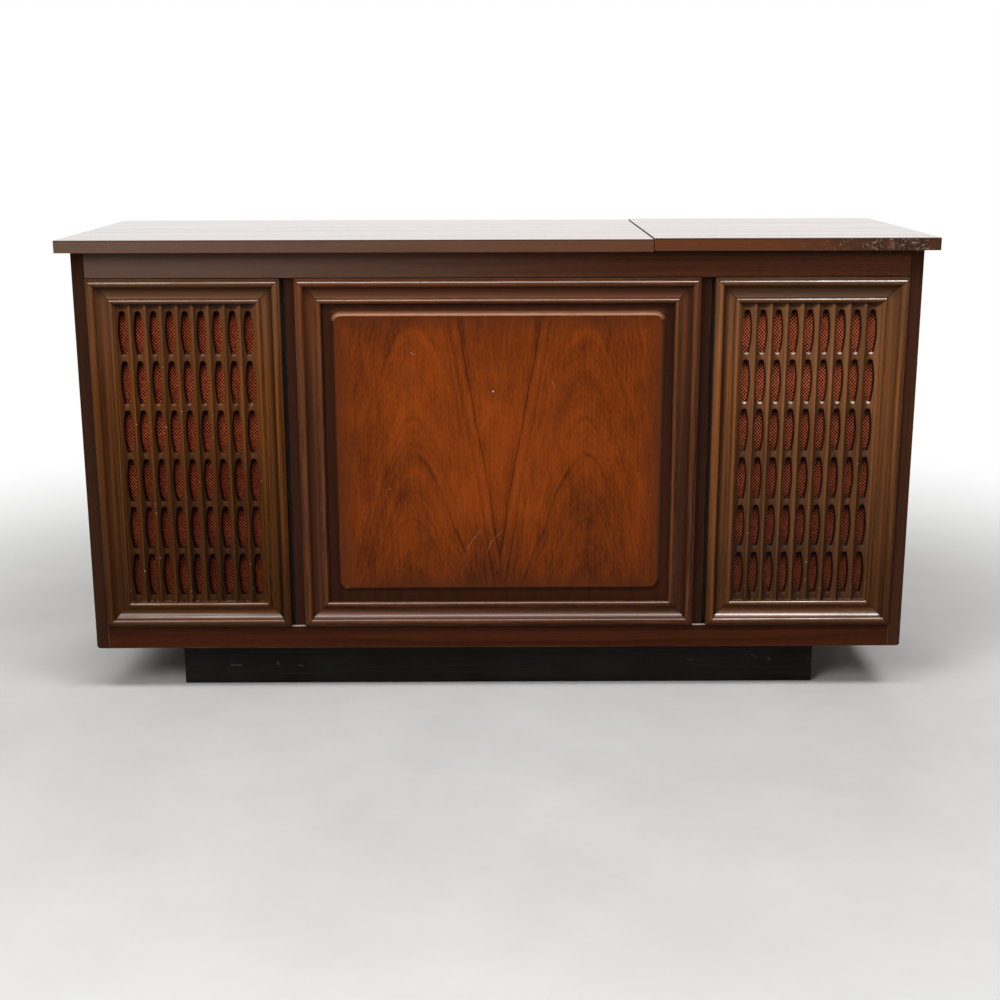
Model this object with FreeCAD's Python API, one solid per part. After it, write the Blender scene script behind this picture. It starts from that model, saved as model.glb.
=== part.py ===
import FreeCAD
import Part
import math
import os

# Lift-lid stereo console. Millimetres, +X to the right, +Y to the back, +Z up, floor at zero.

# Case
TOP_WIDTH = 1400.0
TOP_DEPTH = 482.0
TOP_THICKNESS = 20.0
TOTAL_HEIGHT = 770.0
FIXED_TOP_WIDTH = 452.5
LID_DROP = 1.5
SEAM_GAP = 1.5
SIDE_OVERHANG = 18.0
FRONT_OVERHANG = 30.0
BACK_OVERHANG = 8.0
SIDE_THICKNESS = 20.0
PARTITION_THICKNESS = 16.0
BOTTOM_THICKNESS = 16.0
RAIL_THICKNESS = 20.0
TOP_RAIL_HEIGHT = 42.0
BOTTOM_RAIL_HEIGHT = 38.0
BACK_RAIL_HEIGHT = 50.0
BOARD_ROUND = 1.2
SIDE_CORNER_ROUND = 5.0

# Plinth
PLINTH_HEIGHT = 81.0
PLINTH_WIDTH = 1090.0
PLINTH_FRONT_RECESS = 48.0
PLINTH_BACK_RECESS = 30.0
PLINTH_BOARD = 19.0
CORNER_BLOCK = 40.0

# Moulding section: outer shoulder, bead, cove, inner bead
MOULDING_WIDTH = 41.2
MOULDING_DEPTH = 26.0
MOULDING_PROUD = 9.0
SHOULDER_WIDTH = 3.2
SHOULDER_RISE = 0.6
SHOULDER_ROUND = 1.6
BEAD_WIDTH = 10.4
BEAD_HEIGHT = 5.1
BEAD_QUIRK = 1.6
COVE_LEVEL = 12.8
COVE_SAG = 3.2
INNER_STEP_WIDTH = 2.0
INNER_STEP_LEVEL = 14.2
INNER_BEAD_WIDTH = 7.4
INNER_BEAD_HEIGHT = 3.6
INNER_LIP = 0.3

# Front layout
FRAME_CLEARANCE = 1.0
GRILLE_GAP = 6.0
STILE_WIDTH = 17.0
STILE_RECESS = 7.0
PANEL_BORDER_LEVEL = 9.5
FIELD_RAISE = 4.0
FIELD_BEVEL = 7.0
FIELD_MARGIN = 13.0
FIELD_MARGIN_LOW = 18.0
FIELD_CORNER = 19.0

# Grilles
GRILLE_COLUMNS = 9
GRILLE_ROWS = 6
COLUMN_PITCH = 25.4
RIDGE_LEVEL = 14.5
RIDGE_FLAT = 2.2
FLUTE_DEPTH = 4.5
HOLE_MARGIN = 11.1
HOLE_BRIDGE = 8.0
HOLE_HALF_WIDTH = 8.3
HOLE_TIP_HALF_WIDTH = 5.0
HOLE_TIP_HEIGHT = 4.8
HOLE_DRAFT = 1.2
CLOTH_THICKNESS = 0.8
CLOTH_MARGIN = 2.0
BAFFLE_THICKNESS = 15.0

# Loudspeakers
WOOFER_RADIUS = 122.0
WOOFER_CONE_RADIUS = 104.0
WOOFER_CONE_DEPTH = 44.0
WOOFER_NECK_RADIUS = 26.0
WOOFER_BASKET_DEPTH = 70.0
WOOFER_MAGNET_RADIUS = 44.0
WOOFER_MAGNET_LENGTH = 30.0
WOOFER_RISE = 150.0
PAPER_THICKNESS = 1.4
BASKET_WALL = 3.0
DUST_CAP_HEIGHT = 8.0
TWEETER_RADIUS = 45.0
TWEETER_CONE_RADIUS = 34.0
TWEETER_BODY_RADIUS = 30.0
TWEETER_DEPTH = 30.0
TWEETER_CONE_DEPTH = 14.0
TWEETER_DROP = 70.0
TWEETER_FLANGE = 3.0

# Back
COVER_THICKNESS = 4.0
COVER_INSET = 2.0
COVER_RABBET = 10.0
COVER_CLEARANCE = 1.0
RAIL_LIP = 15.0
SCREW_HEAD_RADIUS = 4.2
SCREW_HEAD_HEIGHT = 2.0
SCREW_SHANK_RADIUS = 1.8
SCREW_DEPTH = 14.0
SCREW_EDGE = 5.5
VENT_ROWS = 5
VENT_COLUMNS = 4
VENT_WIDTH = 60.0
VENT_HEIGHT = 7.0
VENT_PITCH_X = 78.0
VENT_PITCH_Z = 26.0
VENT_RISE = 130.0
TERMINAL_WIDTH = 150.0
TERMINAL_HEIGHT = 54.0
TERMINAL_THICKNESS = 3.0
TERMINAL_LAP = 8.0
TERMINAL_DROP = 46.0
JACK_RADIUS = 4.15
JACK_LENGTH = 9.0
JACK_BASE_RADIUS = 6.0
JACK_BASE_LENGTH = 2.5
JACK_PITCH = 18.0
JACK_PAIRS = 3
AERIAL_SCREWS = 4
AERIAL_PITCH = 14.0
AERIAL_RADIUS = 4.0
AERIAL_LENGTH = 5.0
GLAND_RADIUS = 7.0
GLAND_HEAD_RADIUS = 11.0
GLAND_HEAD_LENGTH = 4.0
GLAND_BORE = 3.6
GLAND_OFFSET = 130.0

# Lid hinges and stay
HINGE_PITCH = 330.0
HINGE_LENGTH = 64.0
HINGE_KNUCKLES = 5
KNUCKLE_RADIUS = 3.0
KNUCKLE_GAP = 0.4
KNUCKLE_DROP = 2.2
HINGE_PIN_RADIUS = 1.5
LEAF_THICKNESS = 1.6
LEAF_LENGTH = 28.0
LID_OPENING = 75.0
STAY_RADIUS = 118.0
STAY_BAR = 14.0
STAY_THICKNESS = 2.5
STAY_OFFSET = 5.0
STAY_PIN_ANGLE = 5.0
STAY_END_ANGLE = 3.5
STAY_PIN_RADIUS = 2.0
STAY_HEAD_RADIUS = 4.5
STAY_HEAD_LENGTH = 2.0
STAY_FOOT_RADIUS = 9.0
STAY_FOOT_GAP = 0.6
STAY_FLANGE = 34.0
STAY_FLANGE_WIDTH = 16.0

# Equipment deck
WELL_DEPTH = 150.0
DECK_THICKNESS = 16.0
DECK_LEDGE = 12.0
WELL_MARGIN = 30.0

# Record changer
PLATE_WIDTH = 360.0
PLATE_DEPTH = 304.0
PLATE_THICKNESS = 3.0
PLATE_CORNER = 16.0
PLATTER_OFFSET_X = -42.0
PLATTER_OFFSET_Y = -8.0
PLATTER_RADIUS = 130.0
PLATTER_HEIGHT = 16.0
PLATTER_SKIN = 3.0
PLATTER_RIM = 5.0
PLATTER_HUB_RADIUS = 14.0
PLATTER_ROUND = 1.5
MAT_MARGIN = 3.0
MAT_THICKNESS = 3.0
MAT_GROOVES = 6
MAT_GROOVE_DEPTH = 0.8
MAT_GROOVE_WIDTH = 6.0
SPINDLE_RADIUS = 3.6
SPINDLE_HEIGHT = 60.0
SPINDLE_TAIL = 10.0
SPINDLE_COLLAR_RADIUS = 9.0
SPINDLE_COLLAR_HEIGHT = 4.0
SPINDLE_TIP = 5.0
IDLER_RADIUS = 22.0
IDLER_THICKNESS = 6.0
IDLER_RISE = 7.0
IDLER_AXLE_RADIUS = 2.0
IDLER_ANGLE = 150.0
PULLEY_ANGLE = 10.0
PULLEY_RADIUS = 2.4
PULLEY_STEP = 1.2
PULLEY_STEP_HEIGHT = 3.0
MOTOR_RADIUS = 38.0
MOTOR_LENGTH = 45.0
MOTOR_SHAFT_RADIUS = 1.6
MOTOR_SHAFT_DEPTH = 20.0
MOTOR_HOLE_RADIUS = 7.0
DRIVE_GAP = 0.15

# Tonearm, placed from the right edge and the middle of the changer plate
ARM_FROM_RIGHT = 42.0
ARM_Y = 100.0
ARM_HEIGHT = 43.0
ARM_REACH = 188.0
ARM_TAIL = 34.0
ARM_TUBE_RADIUS = 4.5
ARM_SWING = 44.0
ARM_LIFT = 5.0
TURRET_RADIUS = 19.0
TURRET_HEIGHT = 24.0
SPIGOT_RADIUS = 6.0
SPIGOT_LENGTH = 12.0
YOKE_GAP = 22.0
YOKE_EAR = 4.0
YOKE_WIDTH = 14.0
YOKE_OVER_AXIS = 6.0
ARM_BLOCK_WIDTH = 18.0
ARM_BLOCK_LENGTH = 20.0
ARM_BLOCK_HEIGHT = 14.0
ARM_PIN_RADIUS = 1.5
WEIGHT_RADIUS = 13.0
WEIGHT_LENGTH = 28.0
SHELL_LENGTH = 58.0
SHELL_WIDTH = 20.0
SHELL_HEIGHT = 9.0
SHELL_NOSE = 8.0
CARTRIDGE_LENGTH = 26.0
CARTRIDGE_WIDTH = 14.0
CARTRIDGE_HEIGHT = 9.0
STYLUS_RADIUS = 1.2
STYLUS_HEIGHT = 2.0
FINGER_LENGTH = 14.0
FINGER_WIDTH = 6.0
FINGER_THICKNESS = 1.6
REST_Y = -50.0
REST_RADIUS = 4.5
REST_BLOCK = 16.0
REST_LIP = 4.0
REST_LIP_HEIGHT = 7.0

# Record steadying arm
POST_FROM_RIGHT = 84.0
POST_Y = 122.0
POST_RADIUS = 5.0
POST_COLLAR_RADIUS = 8.0
POST_COLLAR_HEIGHT = 4.0
POST_TAIL = 24.0
POST_LIFT = 12.0
STEADY_HUB_RADIUS = 9.0
STEADY_HUB_HEIGHT = 10.0
STEADY_WIDTH = 12.0
STEADY_THICKNESS = 5.0
STEADY_PAST_SPINDLE = 14.0
STEADY_OVER_SPINDLE = 1.5
STEADY_SWING = 80.0

# Changer levers, placed from the right and front edges of the changer plate
LEVER_FROM_RIGHT = 22.0
LEVER_PITCH = 50.0
LEVER_FROM_FRONT = 24.0
LEVER_HUB_RADIUS = 9.0
LEVER_HUB_HEIGHT = 7.0
LEVER_LENGTH = 30.0
LEVER_WIDTH = 8.0
LEVER_THICKNESS = 4.0
LEVER_SPIGOT_RADIUS = 3.0
LEVER_TURN = 24.0

# Tuner and amplifier controls
PANEL_THICKNESS = 10.0
PANEL_DEPTH = 290.0
PANEL_CORNER = 8.0
DIAL_MARGIN = 24.0
DIAL_DEPTH = 56.0
DIAL_FROM_BACK = 26.0
DIAL_POCKET = 7.0
GLASS_THICKNESS = 3.0
GLASS_LAP = 3.0
GLASS_FIT = 0.3
POINTER_WIDTH = 3.0
POINTER_THICKNESS = 1.6
POINTER_END_GAP = 4.0
POINTER_FLOAT = 0.3
POINTER_TRAVEL = 140.0
TUNING_TURN = 540.0
KNOB_RADIUS = 18.0
KNOB_HEIGHT = 20.0
TUNING_KNOB_RADIUS = 26.0
KNOB_SKIRT = 3.0
KNOB_SKIRT_HEIGHT = 3.0
KNOB_MARK_WIDTH = 2.0
KNOB_MARK_DEPTH = 1.0
KNOB_ROUND = 1.5
KNOB_EDGE = 62.0
KNOB_FRONT_ROW = 50.0
KNOB_MIDDLE_ROW = 134.0
SHAFT_RADIUS = 3.0
SHAFT_DEPTH = 22.0
POT_RADIUS = 12.0
POT_HEIGHT = 14.0
TONE_TURN = 140.0
VOLUME_TURN = 290.0
SELECTOR_TURN = 120.0
BUTTON_WIDTH = 22.0
BUTTON_DEPTH = 12.0
BUTTON_RISE = 7.0
BUTTON_TRAVEL = 4.0
BUTTON_FIT = 0.35
BUTTON_ROUND = 1.0
BUTTON_FOOT = 5.0
BUTTON_COLLAR = 2.0
CHASSIS_DEPTH = 64.0
CHASSIS_WALL = 1.5
CHASSIS_LIP = 8.0
TRANSFORMER_WIDTH = 78.0
TRANSFORMER_DEPTH = 66.0
TRANSFORMER_HEIGHT = 54.0
TRANSFORMER_INSET = 40.0
SINK_WIDTH = 120.0
SINK_DEPTH = 40.0
SINK_HEIGHT = 36.0
SINK_BASE = 6.0
SINK_FINS = 7
SINK_FIN = 3.0

# Fits
RUN_FIT = 0.05
SEAT_GAP = 0.3
LOOSE_FIT = 0.4

# Derived planes
FRONT_Y = -TOP_DEPTH / 2 + FRONT_OVERHANG
BACK_Y = TOP_DEPTH / 2 - BACK_OVERHANG
CASE_TOP = TOTAL_HEIGHT - LID_DROP - TOP_THICKNESS
SIDE_OUT = TOP_WIDTH / 2 - SIDE_OVERHANG
SIDE_IN = SIDE_OUT - SIDE_THICKNESS
FIXED_LEFT = TOP_WIDTH / 2 - FIXED_TOP_WIDTH
LID_RIGHT = FIXED_LEFT - SEAM_GAP
OPENING_LOW = PLINTH_HEIGHT + BOTTOM_RAIL_HEIGHT
OPENING_HIGH = CASE_TOP - TOP_RAIL_HEIGHT
FRAME_LOW = OPENING_LOW + FRAME_CLEARANCE
FRAME_HIGH = OPENING_HIGH - FRAME_CLEARANCE
SEAT_Y = FRONT_Y - MOULDING_PROUD + MOULDING_DEPTH
BAFFLE_Y = SEAT_Y + CLOTH_THICKNESS
WALL_Y = BAFFLE_Y + BAFFLE_THICKNESS
GRILLE_WIDTH = GRILLE_COLUMNS * COLUMN_PITCH
GRILLE_OUT = SIDE_IN - FRAME_CLEARANCE
GRILLE_IN = GRILLE_OUT - GRILLE_WIDTH - 2 * MOULDING_WIDTH
GRILLE_MID = (GRILLE_OUT + GRILLE_IN) / 2
STILE_OUT = GRILLE_IN - GRILLE_GAP
CENTRE_HALF = STILE_OUT - STILE_WIDTH
COVER_Y = BACK_Y - COVER_INSET - COVER_THICKNESS
RAIL_BACK_Y = BACK_Y - RAIL_THICKNESS
RAIL_LOW = CASE_TOP - BACK_RAIL_HEIGHT
FLOOR_TOP = PLINTH_HEIGHT + BOTTOM_THICKNESS
COVER_HALF = SIDE_IN + COVER_RABBET - COVER_CLEARANCE
COVER_LOW = PLINTH_HEIGHT + COVER_CLEARANCE
COVER_HIGH = RAIL_LOW + RAIL_LIP - COVER_CLEARANCE
DECK_TOP = CASE_TOP - WELL_DEPTH
DECK_LOW = DECK_TOP - DECK_THICKNESS
HINGE_Y = BACK_Y + KNUCKLE_RADIUS + KNUCKLE_GAP
HINGE_Z = CASE_TOP - KNUCKLE_DROP
HINGE_MID_X = (LID_RIGHT - TOP_WIDTH / 2) / 2
PLATE_LEFT = -SIDE_IN + WELL_MARGIN
PLATE_RIGHT = PLATE_LEFT + PLATE_WIDTH
PLATE_X = PLATE_LEFT + PLATE_WIDTH / 2
PLATE_Y = (WALL_Y + RAIL_BACK_Y) / 2
PLATE_TOP = DECK_TOP + PLATE_THICKNESS
PLATTER_X = PLATE_X + PLATTER_OFFSET_X
PLATTER_Y = PLATE_Y + PLATTER_OFFSET_Y
PLATTER_Z = PLATE_TOP + SPINDLE_COLLAR_HEIGHT + SEAT_GAP
PLATTER_TOP = PLATTER_Z + PLATTER_HEIGHT
MAT_TOP = PLATTER_TOP + MAT_THICKNESS
SPINDLE_TOP = MAT_TOP + SPINDLE_HEIGHT
IDLER_ORBIT = PLATTER_RADIUS - PLATTER_RIM - IDLER_RADIUS - DRIVE_GAP
IDLER_X = PLATTER_X + IDLER_ORBIT * math.cos(math.radians(IDLER_ANGLE))
IDLER_Y = PLATTER_Y + IDLER_ORBIT * math.sin(math.radians(IDLER_ANGLE))
IDLER_Z = PLATE_TOP + IDLER_RISE
PULLEY_ORBIT = IDLER_RADIUS + PULLEY_RADIUS + DRIVE_GAP
PULLEY_X = IDLER_X + PULLEY_ORBIT * math.cos(math.radians(PULLEY_ANGLE))
PULLEY_Y = IDLER_Y + PULLEY_ORBIT * math.sin(math.radians(PULLEY_ANGLE))
TURRET_X = PLATE_RIGHT - ARM_FROM_RIGHT
TURRET_Y = PLATE_Y + ARM_Y
TURRET_Z = PLATE_TOP + SEAT_GAP
ARM_Z = PLATE_TOP + ARM_HEIGHT
STEADY_POST_X = PLATE_RIGHT - POST_FROM_RIGHT
STEADY_POST_Y = PLATE_Y + POST_Y
STEADY_Z = SPINDLE_TOP + STEADY_OVER_SPINDLE
START_LEVER_X = PLATE_RIGHT - LEVER_FROM_RIGHT
SPEED_LEVER_X = START_LEVER_X - LEVER_PITCH
LEVER_Y = PLATE_Y - PLATE_DEPTH / 2 + LEVER_FROM_FRONT
PANEL_LEFT = PLATE_RIGHT + WELL_MARGIN
PANEL_RIGHT = FIXED_LEFT - WELL_MARGIN
PANEL_X = (PANEL_LEFT + PANEL_RIGHT) / 2
PANEL_FRONT = PLATE_Y - PANEL_DEPTH / 2
PANEL_BACK = PLATE_Y + PANEL_DEPTH / 2
PANEL_TOP = DECK_TOP + PANEL_THICKNESS
DIAL_LEFT = PANEL_LEFT + DIAL_MARGIN
DIAL_RIGHT = PANEL_RIGHT - DIAL_MARGIN
DIAL_BACK = PANEL_BACK - DIAL_FROM_BACK
DIAL_FRONT = DIAL_BACK - DIAL_DEPTH
DIAL_FLOOR = PANEL_TOP - DIAL_POCKET
FRONT_ROW_Y = PANEL_FRONT + KNOB_FRONT_ROW
MIDDLE_ROW_Y = PANEL_FRONT + KNOB_MIDDLE_ROW
KNOB_LEFT_X = PANEL_LEFT + KNOB_EDGE
KNOB_RIGHT_X = PANEL_RIGHT - KNOB_EDGE
KNOB_PITCH = (KNOB_RIGHT_X - KNOB_LEFT_X) / 3
KNOB_PLACES = {
    "volume_knob": (KNOB_LEFT_X, FRONT_ROW_Y),
    "balance_knob": (KNOB_LEFT_X + KNOB_PITCH, FRONT_ROW_Y),
    "bass_knob": (KNOB_RIGHT_X - KNOB_PITCH, FRONT_ROW_Y),
    "treble_knob": (KNOB_RIGHT_X, FRONT_ROW_Y),
    "selector_knob": (KNOB_LEFT_X, MIDDLE_ROW_Y),
    "tuning_knob": (KNOB_RIGHT_X, MIDDLE_ROW_Y),
}
TERMINAL_Z = DECK_LOW - TERMINAL_DROP
WOOFER_Z = FLOOR_TOP + WOOFER_RISE
TWEETER_Z = DECK_LOW - TWEETER_DROP

UP = FreeCAD.Vector(0, 0, 1)
BACK = FreeCAD.Vector(0, 1, 0)
RIGHT = FreeCAD.Vector(1, 0, 0)


def board(x, y, z):
    """A square-edged block between two limits on each axis."""
    corner = FreeCAD.Vector(x[0], y[0], z[0])
    return Part.makeBox(x[1] - x[0], y[1] - y[0], z[1] - z[0], corner)


def rod(start, radius, length, axis):
    """A plain cylinder that starts at a point and runs along an axis."""
    return Part.makeCylinder(radius, length, FreeCAD.Vector(*start), axis)


def joined(first, others):
    """One solid from pieces that overlap or touch."""
    return first.fuse(others).removeSplitter().Solids[0]


def trimmed(first, tools):
    """The solid that is left when the tools are taken away."""
    return first.cut(tools).Solids[0]


def edges_where(shape, test):
    """The edges whose middle passes a test."""
    return [edge for edge in shape.Edges if test(edge.CenterOfMass)]


def upright_edges(shape):
    """The edges that run along Z."""
    return [edge for edge in shape.Edges if abs(edge.tangentAt(edge.FirstParameter).z) > 0.999]


def turned(outline, origin, axis):
    """A solid of revolution from points of radius and height along the axis."""
    points = [FreeCAD.Vector(radius, 0, height) for radius, height in outline]
    face = Part.Face(Part.makePolygon(points + [points[0]]))
    solid = face.revolve(FreeCAD.Vector(0, 0, 0), UP, 360)
    solid.Placement = FreeCAD.Placement(FreeCAD.Vector(*origin), FreeCAD.Rotation(UP, axis))
    return solid


def prism(points, travel):
    """A straight prism from a flat polygon."""
    return Part.Face(Part.makePolygon(points + [points[0]])).extrude(travel)


def save(name, solids):
    """Write one node of one or more separate solids."""
    shape = solids[0] if len(solids) == 1 else Part.makeCompound(solids)
    shape.exportStep("parts/" + name + ".step")


def build_plinth():
    front = FRONT_Y + PLINTH_FRONT_RECESS
    back = BACK_Y - PLINTH_BACK_RECESS
    half = PLINTH_WIDTH / 2
    inner = half - PLINTH_BOARD
    height = (0, PLINTH_HEIGHT)
    solids = [board((-half, half), (front, front + PLINTH_BOARD), height)]
    solids.append(board((-half, half), (back - PLINTH_BOARD, back), height))
    for left, right in ((-half, -inner), (inner, half)):
        solids.append(board((left, right), (front + PLINTH_BOARD, back - PLINTH_BOARD), height))
    for left in (-inner, inner - CORNER_BLOCK):
        for low in (front + PLINTH_BOARD, back - PLINTH_BOARD - CORNER_BLOCK):
            solids.append(board((left, left + CORNER_BLOCK), (low, low + CORNER_BLOCK), height))
    save("plinth_boards", solids)


def screw_places():
    """Where the back cover is screwed, as x and z of each screw."""
    side = COVER_HALF - SCREW_EDGE + COVER_CLEARANCE
    low = COVER_LOW + SCREW_EDGE
    high = COVER_HIGH - SCREW_EDGE
    columns = [-COVER_HALF * 0.75, -COVER_HALF * 0.25, COVER_HALF * 0.25, COVER_HALF * 0.75]
    rows = [low + (high - low) * share for share in (0.1, 0.5, 0.9)]
    places = [(x, z) for x in columns for z in (low, high)]
    places += [(x, z) for x in (-side, side) for z in rows]
    return places


def screw_holes():
    """Pilot holes for the back cover screws."""
    start = COVER_Y + COVER_THICKNESS - SCREW_DEPTH
    return [rod((x, start, z), SCREW_SHANK_RADIUS, SCREW_DEPTH, BACK) for x, z in screw_places()]


def build_case():
    holes = screw_holes()
    depth = (FRONT_Y, BACK_Y)
    for name, sign, top in (("left_side_panel", -1, CASE_TOP), ("right_side_panel", 1, CASE_TOP + LID_DROP)):
        x = sorted((sign * SIDE_IN, sign * SIDE_OUT))
        side = board(x, depth, (PLINTH_HEIGHT, top))
        low_edges = edges_where(side, lambda m: abs(m.x) > SIDE_OUT - 1 and m.z < PLINTH_HEIGHT + 1)
        side = side.makeFillet(SIDE_CORNER_ROUND, low_edges)
        rabbet_x = sorted((sign * SIDE_IN, sign * (SIDE_IN + COVER_RABBET)))
        rabbet = board(rabbet_x, (COVER_Y, BACK_Y), (PLINTH_HEIGHT, COVER_HIGH + COVER_CLEARANCE))
        save(name, [trimmed(side, [rabbet] + holes)])
    floor = board((-SIDE_IN, SIDE_IN), (FRONT_Y + RAIL_THICKNESS, COVER_Y), (PLINTH_HEIGHT, FLOOR_TOP))
    save("bottom_panel", [trimmed(floor, holes)])
    rail_depth = (FRONT_Y, FRONT_Y + RAIL_THICKNESS)
    save("top_front_rail", [board((-SIDE_IN, SIDE_IN), rail_depth, (OPENING_HIGH, CASE_TOP))])
    save("bottom_front_rail", [board((-SIDE_IN, SIDE_IN), rail_depth, (PLINTH_HEIGHT, OPENING_LOW))])
    stile_depth = (FRONT_Y + STILE_RECESS, WALL_Y)
    stiles = []
    for x in ((-STILE_OUT, -CENTRE_HALF), (CENTRE_HALF, STILE_OUT)):
        stiles.append(board(x, stile_depth, (OPENING_LOW, OPENING_HIGH)))
    save("front_stiles", stiles)
    rail = board((-SIDE_IN, SIDE_IN), (RAIL_BACK_Y, BACK_Y), (RAIL_LOW, CASE_TOP))
    rabbet = board((-SIDE_IN, SIDE_IN), (COVER_Y, BACK_Y), (RAIL_LOW, RAIL_LOW + RAIL_LIP))
    save("back_top_rail", [trimmed(rail, [rabbet] + holes)])
    inner_depth = (WALL_Y, COVER_Y)
    left_x = (-STILE_OUT, -STILE_OUT + PARTITION_THICKNESS)
    save("left_partition", [board(left_x, inner_depth, (FLOOR_TOP, DECK_LOW))])
    right_x = (FIXED_LEFT, FIXED_LEFT + PARTITION_THICKNESS)
    wall = board(right_x, inner_depth, (FLOOR_TOP, CASE_TOP + LID_DROP))
    notch = board(right_x, (RAIL_BACK_Y, BACK_Y), (RAIL_LOW, CASE_TOP + LID_DROP))
    save("right_partition", [trimmed(wall, [notch])])


def hinge_places():
    """The middle of each hinge along X."""
    return [HINGE_MID_X + step * HINGE_PITCH for step in (-1, 0, 1)]


def build_tops():
    depth = (-TOP_DEPTH / 2, TOP_DEPTH / 2)
    fixed = board((FIXED_LEFT, TOP_WIDTH / 2), depth, (CASE_TOP + LID_DROP, TOTAL_HEIGHT))
    save("fixed_top", [fixed.makeFillet(BOARD_ROUND, fixed.Edges)])
    lid = board((-TOP_WIDTH / 2, LID_RIGHT), depth, (CASE_TOP, CASE_TOP + TOP_THICKNESS))
    lid = lid.makeFillet(BOARD_ROUND, lid.Edges)
    mortises = []
    for x in hinge_places():
        half = HINGE_LENGTH / 2 + KNUCKLE_GAP
        front = HINGE_Y - LEAF_LENGTH
        mortises.append(board((x - half, x + half), (front, TOP_DEPTH / 2), (CASE_TOP, CASE_TOP + LEAF_THICKNESS)))
    save("lid_panel", [trimmed(lid, mortises)])


def build_hinges():
    fixed_solids = []
    moving_solids = []
    knuckle = HINGE_LENGTH / HINGE_KNUCKLES
    for middle in hinge_places():
        left = middle - HINGE_LENGTH / 2
        right = middle + HINGE_LENGTH / 2
        bore = rod((left, HINGE_Y, HINGE_Z), HINGE_PIN_RADIUS + RUN_FIT, HINGE_LENGTH, RIGHT)
        leaf_y = (BACK_Y, BACK_Y + LEAF_THICKNESS)
        below = HINGE_Z - KNUCKLE_RADIUS - KNUCKLE_GAP
        fixed = board((left, right), leaf_y, (HINGE_Z - LEAF_LENGTH, below))
        leaf_z = (CASE_TOP, CASE_TOP + LEAF_THICKNESS)
        before = HINGE_Y - KNUCKLE_RADIUS - KNUCKLE_GAP
        moving = board((left, right), (HINGE_Y - LEAF_LENGTH, before), leaf_z)
        for step in range(HINGE_KNUCKLES):
            start = left + step * knuckle + KNUCKLE_GAP / 2
            length = knuckle - KNUCKLE_GAP
            span = (start, start + length)
            barrel = rod((start, HINGE_Y, HINGE_Z), KNUCKLE_RADIUS, length, RIGHT)
            if step % 2 == 0:
                fixed = joined(fixed, [barrel, board(span, leaf_y, (below, HINGE_Z))])
            else:
                moving = joined(moving, [barrel, board(span, (before, HINGE_Y), leaf_z)])
        fixed_solids.append(trimmed(fixed, [bore]))
        moving_solids.append(trimmed(moving, [bore]))
        fixed_solids.append(rod((left, HINGE_Y, HINGE_Z), HINGE_PIN_RADIUS, HINGE_LENGTH, RIGHT))
    stay_left = -SIDE_IN + STAY_OFFSET
    angle = math.radians(STAY_PIN_ANGLE)
    pin_y = HINGE_Y - STAY_RADIUS * math.cos(angle)
    pin_z = HINGE_Z - STAY_RADIUS * math.sin(angle)
    foot_length = STAY_OFFSET - STAY_FOOT_GAP
    head_start = stay_left + STAY_THICKNESS + STAY_FOOT_GAP
    guide = rod((-SIDE_IN, pin_y, pin_z), STAY_FOOT_RADIUS, foot_length, RIGHT)
    pin = rod((-SIDE_IN, pin_y, pin_z), STAY_PIN_RADIUS, head_start + STAY_HEAD_LENGTH + SIDE_IN, RIGHT)
    head = rod((head_start, pin_y, pin_z), STAY_HEAD_RADIUS, STAY_HEAD_LENGTH, RIGHT)
    fixed_solids.append(joined(guide, [pin, head]))
    save("hinge_fixed_leaves", fixed_solids)
    save("hinge_moving_leaves", moving_solids)


def stay_point(radius, degrees):
    """A point of the lid stay, by radius from the hinge pin and angle below level."""
    angle = math.radians(degrees)
    y = HINGE_Y - radius * math.cos(angle)
    z = HINGE_Z - radius * math.sin(angle)
    return FreeCAD.Vector(-SIDE_IN + STAY_OFFSET, y, z)


def stay_sector(inner, outer, start, end):
    """A flat curved bar about the hinge pin."""
    middle = (start + end) / 2
    far = Part.Arc(stay_point(outer, start), stay_point(outer, middle), stay_point(outer, end)).toShape()
    near = Part.Arc(stay_point(inner, end), stay_point(inner, middle), stay_point(inner, start)).toShape()
    low = Part.makeLine(stay_point(outer, end), stay_point(inner, end))
    high = Part.makeLine(stay_point(inner, start), stay_point(outer, start))
    face = Part.Face(Part.Wire([far, low, near, high]))
    return face.extrude(RIGHT * STAY_THICKNESS)


def build_stay():
    inner = STAY_RADIUS - STAY_BAR / 2
    outer = STAY_RADIUS + STAY_BAR / 2
    slot_half = STAY_PIN_RADIUS + LOOSE_FIT
    slot_end = STAY_PIN_ANGLE + LID_OPENING
    bar = stay_sector(inner, outer, 0, slot_end + STAY_END_ANGLE)
    left = -SIDE_IN + STAY_OFFSET
    middle = HINGE_Y - STAY_RADIUS
    flange_y = (middle - STAY_FLANGE / 2, middle + STAY_FLANGE / 2)
    flange = board((left, left + STAY_FLANGE_WIDTH), flange_y, (CASE_TOP - LEAF_THICKNESS, CASE_TOP))
    neck_y = (middle - STAY_BAR / 2, middle + STAY_BAR / 2)
    neck = board((left, left + STAY_THICKNESS), neck_y, (HINGE_Z, CASE_TOP))
    slot = stay_sector(STAY_RADIUS - slot_half, STAY_RADIUS + slot_half, STAY_PIN_ANGLE, slot_end)
    ends = []
    for degrees in (STAY_PIN_ANGLE, slot_end):
        ends.append(Part.makeCylinder(slot_half, STAY_THICKNESS, stay_point(STAY_RADIUS, degrees), RIGHT))
    save("lid_stay", [trimmed(joined(bar, [flange, neck]), [slot] + ends)])


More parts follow.
